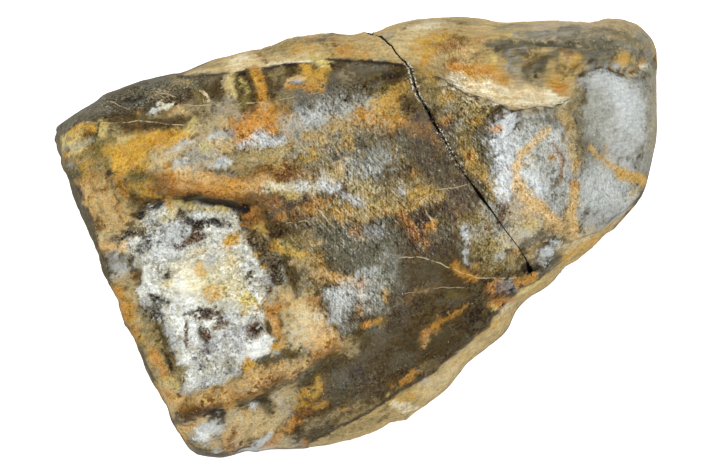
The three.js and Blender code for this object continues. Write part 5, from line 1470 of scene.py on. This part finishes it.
streaks = speckle(0.3, 17, 4.0, 6.0, -22.0)
colour = scaled(colour, 1.0 + STREAK_SHADE * streaks * bare)
sleek = speckle(0.16, 16, 3.0, 8.0, -14.0)
colour = scaled(colour, 1.0 + SLEEK_SHADE * sleek * field("calm"))
worn = field("worn")
down_right = speckle(0.11, 14, 2.0, 6.0, -65.0)
upright = speckle(0.11, 15, 2.0, 4.0, 75.0)
# The scuffs are wear marks; the light they add and the glints over them are painted highlights.
scuffs_and_glints = (down_right + 1.2 * upright + 0.4 * grit) * worn
colour = scaled(colour, (1.0 + BRUSHED_SHADE * scuffs_and_glints).most(DARKEST_BRUSHED))
colour = lifted(colour, GLINT_LIFT * scuffs_and_glints * light)
glints = (down_right + 0.8 * upright + 0.6 * grit + 0.4 * patch).step(0.5, 1.0) * worn
colour = (glints * (0.7 * light + 0.12)).over(colour, GLINT)
print("streaks and wear laid")

# %% Enamel's edge, and the sand in the dentine
EDGE_LINE = picked(50, 39, 28)
SAND_GRAIN = picked(96, 74, 46)
EDGE_COVERS, SAND_COVERS = 0.75, 0.7

# The dark edge line is the enamel's dark broken section, deepened with painted shade under its step.
at_edge = abs(covered - 0.04 + 0.04 * grain).step(0.09, 0.03)
edge_line = at_edge * field("edge_shows") * (fine + grain).step(-0.7, 0.1)
sand = bare * (fine + 0.5 * grain).step(0.7, 1.1)
colour = (SAND_COVERS * sand).over(colour, SAND_GRAIN)
colour = (EDGE_COVERS * edge_line).over(colour, EDGE_LINE)
print("edge and sand laid")

# %% Specks of chalk, and dark specks thickest in the crust's clefts
CHALK = picked(236, 235, 228)
DARK_SPECK = picked(58, 44, 30)
CHALK_COVERS, DARK_SPECK_COVERS = 0.55, 0.6
CRUST_LIFT = 0.13

crusted = (field("crust") + 0.25 * grain + 0.15 * patch).step(-0.05, 0.25)
white_specks = (streaky + 0.6 * fine).step(0.35, 0.8) * busy
dark_specks = (0.7 * grain - 0.7 * fine + 0.5 * grit + 0.6 * field("cleft")).step(0.45, 0.7) * busy
colour = (CHALK_COVERS * crusted * white_specks).over(colour, CHALK)
colour = (DARK_SPECK_COVERS * crusted * dark_specks).over(colour, DARK_SPECK)
colour = lifted(colour, CRUST_LIFT * crusted * busy * (grit + 0.6 * fine))
print("specks in the crust laid")

# %% Deeper darks and lighter lights
DARKS_DROP = -0.012
DARKS_TONE = 0.97
LIGHTS_GAIN = 0.16
GREEN_SHARE, BLUE_SHARE = 1.04, 1.09  # a slightly cooler light than the pigments were picked in

redness = Wire.node("ShaderNodeSeparateColor", None, {"Color": colour})
tone = DARKS_TONE + LIGHTS_GAIN * redness.step(0.1, 0.34)
colour = scaled(lifted(colour, DARKS_DROP), tone, GREEN_SHARE, BLUE_SHARE)
print("tones set")

# %% Hairlines and the crack
CALCITE = picked(232, 222, 196)
THREAD = picked(218, 200, 156)
CRACK_SHADE = picked(24, 18, 13)
CRYSTAL_COVERS = 0.9

unbroken = (patch + grain).step(-0.5, 0.3)
hairline = abs(field("hair") + 0.5 * fine).step(1.1, 0.5) * field("hair_near") * unbroken
colour = hairline.over(colour, THREAD)
lined = (field("crystals") + 0.9 * fine + 0.9 * grit).step(0.75, 0.95)
specks = (1.1 * field("crystals") - fine + 0.7 * grit).step(1.2, 1.35)
# The crack's gap, and the specks between its crystals, are coloured dark: painted shade in the open crack.
gap = abs(field("crack") + 0.4 * fine + 0.3 * grit).step(1.15, 0.85) * field("crack_near")
colour = gap.over(colour, CRACK_SHADE)
colour = (CRYSTAL_COVERS * lined).over(colour, CALCITE)
colour = (CRYSTAL_COVERS * specks).over(colour, CRACK_SHADE)
print("colour is finished")

# %% Gloss and fine relief
POLISHED = 0.28  # the roughness of sound enamel
MATT_ADDS = 0.38  # and what chalk adds to it
STONE_IOR = 1.5
STONE_SPECULAR = 0.35

# Heights are in mm: the Bump node's distance turns them into metres.
roughness = POLISHED + 0.05 * grain + 0.05 * fine + MATT_ADDS * matt
wrinkle = speckle(0.5, 6, 5.0, 1.6)
relief = 0.010 * wrinkle + 0.006 * fine + 0.013 * scuffs_and_glints
relief = relief + matt * (0.028 * grain + 0.015 * fine) * busy + 0.03 * streaks * bare
relief = relief + crusted * busy * (0.05 * patch + 0.04 * grain)
relief = relief + 0.03 * hairline + 0.05 * lined - 0.25 * gap - 0.08 * specks - 0.04 * edge_line
bumped = Wire.node("ShaderNodeBump", None, {"Strength": 1.0, "Distance": MM, "Height": relief})

looks = {"Base Color": colour, "Roughness": roughness, "Normal": bumped}
looks.update({"IOR": STONE_IOR, "Specular IOR Level": STONE_SPECULAR})
finish_material(Wire.node("ShaderNodeBsdfPrincipled", None, looks))
crown.data.materials.append(fossil)
for polygon in crown.data.polygons:
    polygon.use_smooth = True
print("material has", len(fossil.node_tree.nodes), "nodes")

# %% [markdown]
# ## The table top and the lights
#
# Small specimens are lit so that gloss shows form: large soft boxes to the sides and a darker space
# overhead, where the camera is. Enamel that faces straight up then stays dark, and enamel that tilts
# catches a box as a grey sheen. Part of that grey sheen is also painted into the enamel's colour, as
# silver, pewter and ash. The table top glows a little, as a light table does, which keeps heavy
# shadows from under the rim.

# %% Table top
TABLE_SIZE = 600.0  # mm
TABLE_BELOW = 0.02  # mm, so that the resting flat doesn't share its plane
TABLE_ROUGHNESS = 0.8
TABLE_GLOW = 0.75

table_mesh = bmesh.new()
bmesh.ops.create_grid(table_mesh, x_segments=1, y_segments=1, size=0.5 * TABLE_SIZE * MM)
bmesh.ops.translate(table_mesh, verts=table_mesh.verts, vec=(0, 0, -TABLE_BELOW * MM))
table = bpy.data.objects.new("table_top", bpy.data.meshes.new("table_top"))
table_mesh.to_mesh(table.data)
table_mesh.free()
bpy.context.scene.collection.objects.link(table)
table_paint = start_material("table_top_white")
white = {"Base Color": picked(240, 240, 240), "Roughness": TABLE_ROUGHNESS}
white.update({"Emission Color": picked(255, 255, 255), "Emission Strength": TABLE_GLOW})
finish_material(Wire.node("ShaderNodeBsdfPrincipled", None, white))
table.data.materials.append(table_paint)
table.visible_glossy = False
print("table top", TABLE_SIZE, "mm wide")

# %% Soft boxes and room light
BOX_AWAY = 420  # mm
ROOM_LIGHT = 0.35


def soft_box(name, direction, size, power):
    """A square light `size` mm wide, in that direction from the crown and facing it."""
    lamp = bpy.data.lights.new(name, "AREA")
    lamp.size = size * MM
    lamp.energy = power
    box = bpy.data.objects.new(name, lamp)
    towards = Vector(direction).normalized()
    box.location = towards * BOX_AWAY * MM
    box.rotation_euler = towards.to_track_quat("Z", "Y").to_euler()
    bpy.context.scene.collection.objects.link(box)
    return box


upper_left = soft_box("upper_left_box", (-0.6, 0.75, 1.1), 260, 0.85)
upper_left.visible_glossy = False
soft_box("right_box", (0.85, 0.1, 1.25), 240, 0.6)
soft_box("lower_box", (-0.1, -0.9, 1.2), 240, 0.4)

room = bpy.data.worlds.new("pale_room")
room.use_nodes = True
sky = room.node_tree.nodes["Background"]
sky.inputs["Color"].default_value = picked(255, 255, 255)
sky.inputs["Strength"].default_value = ROOM_LIGHT
bpy.context.scene.world = room
bpy.context.scene.view_settings.view_transform = "Standard"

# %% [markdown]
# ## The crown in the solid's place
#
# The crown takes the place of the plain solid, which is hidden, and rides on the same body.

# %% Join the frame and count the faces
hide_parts("tooth")
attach(crown, "root")
print("faces:", len(crown.data.polygons))
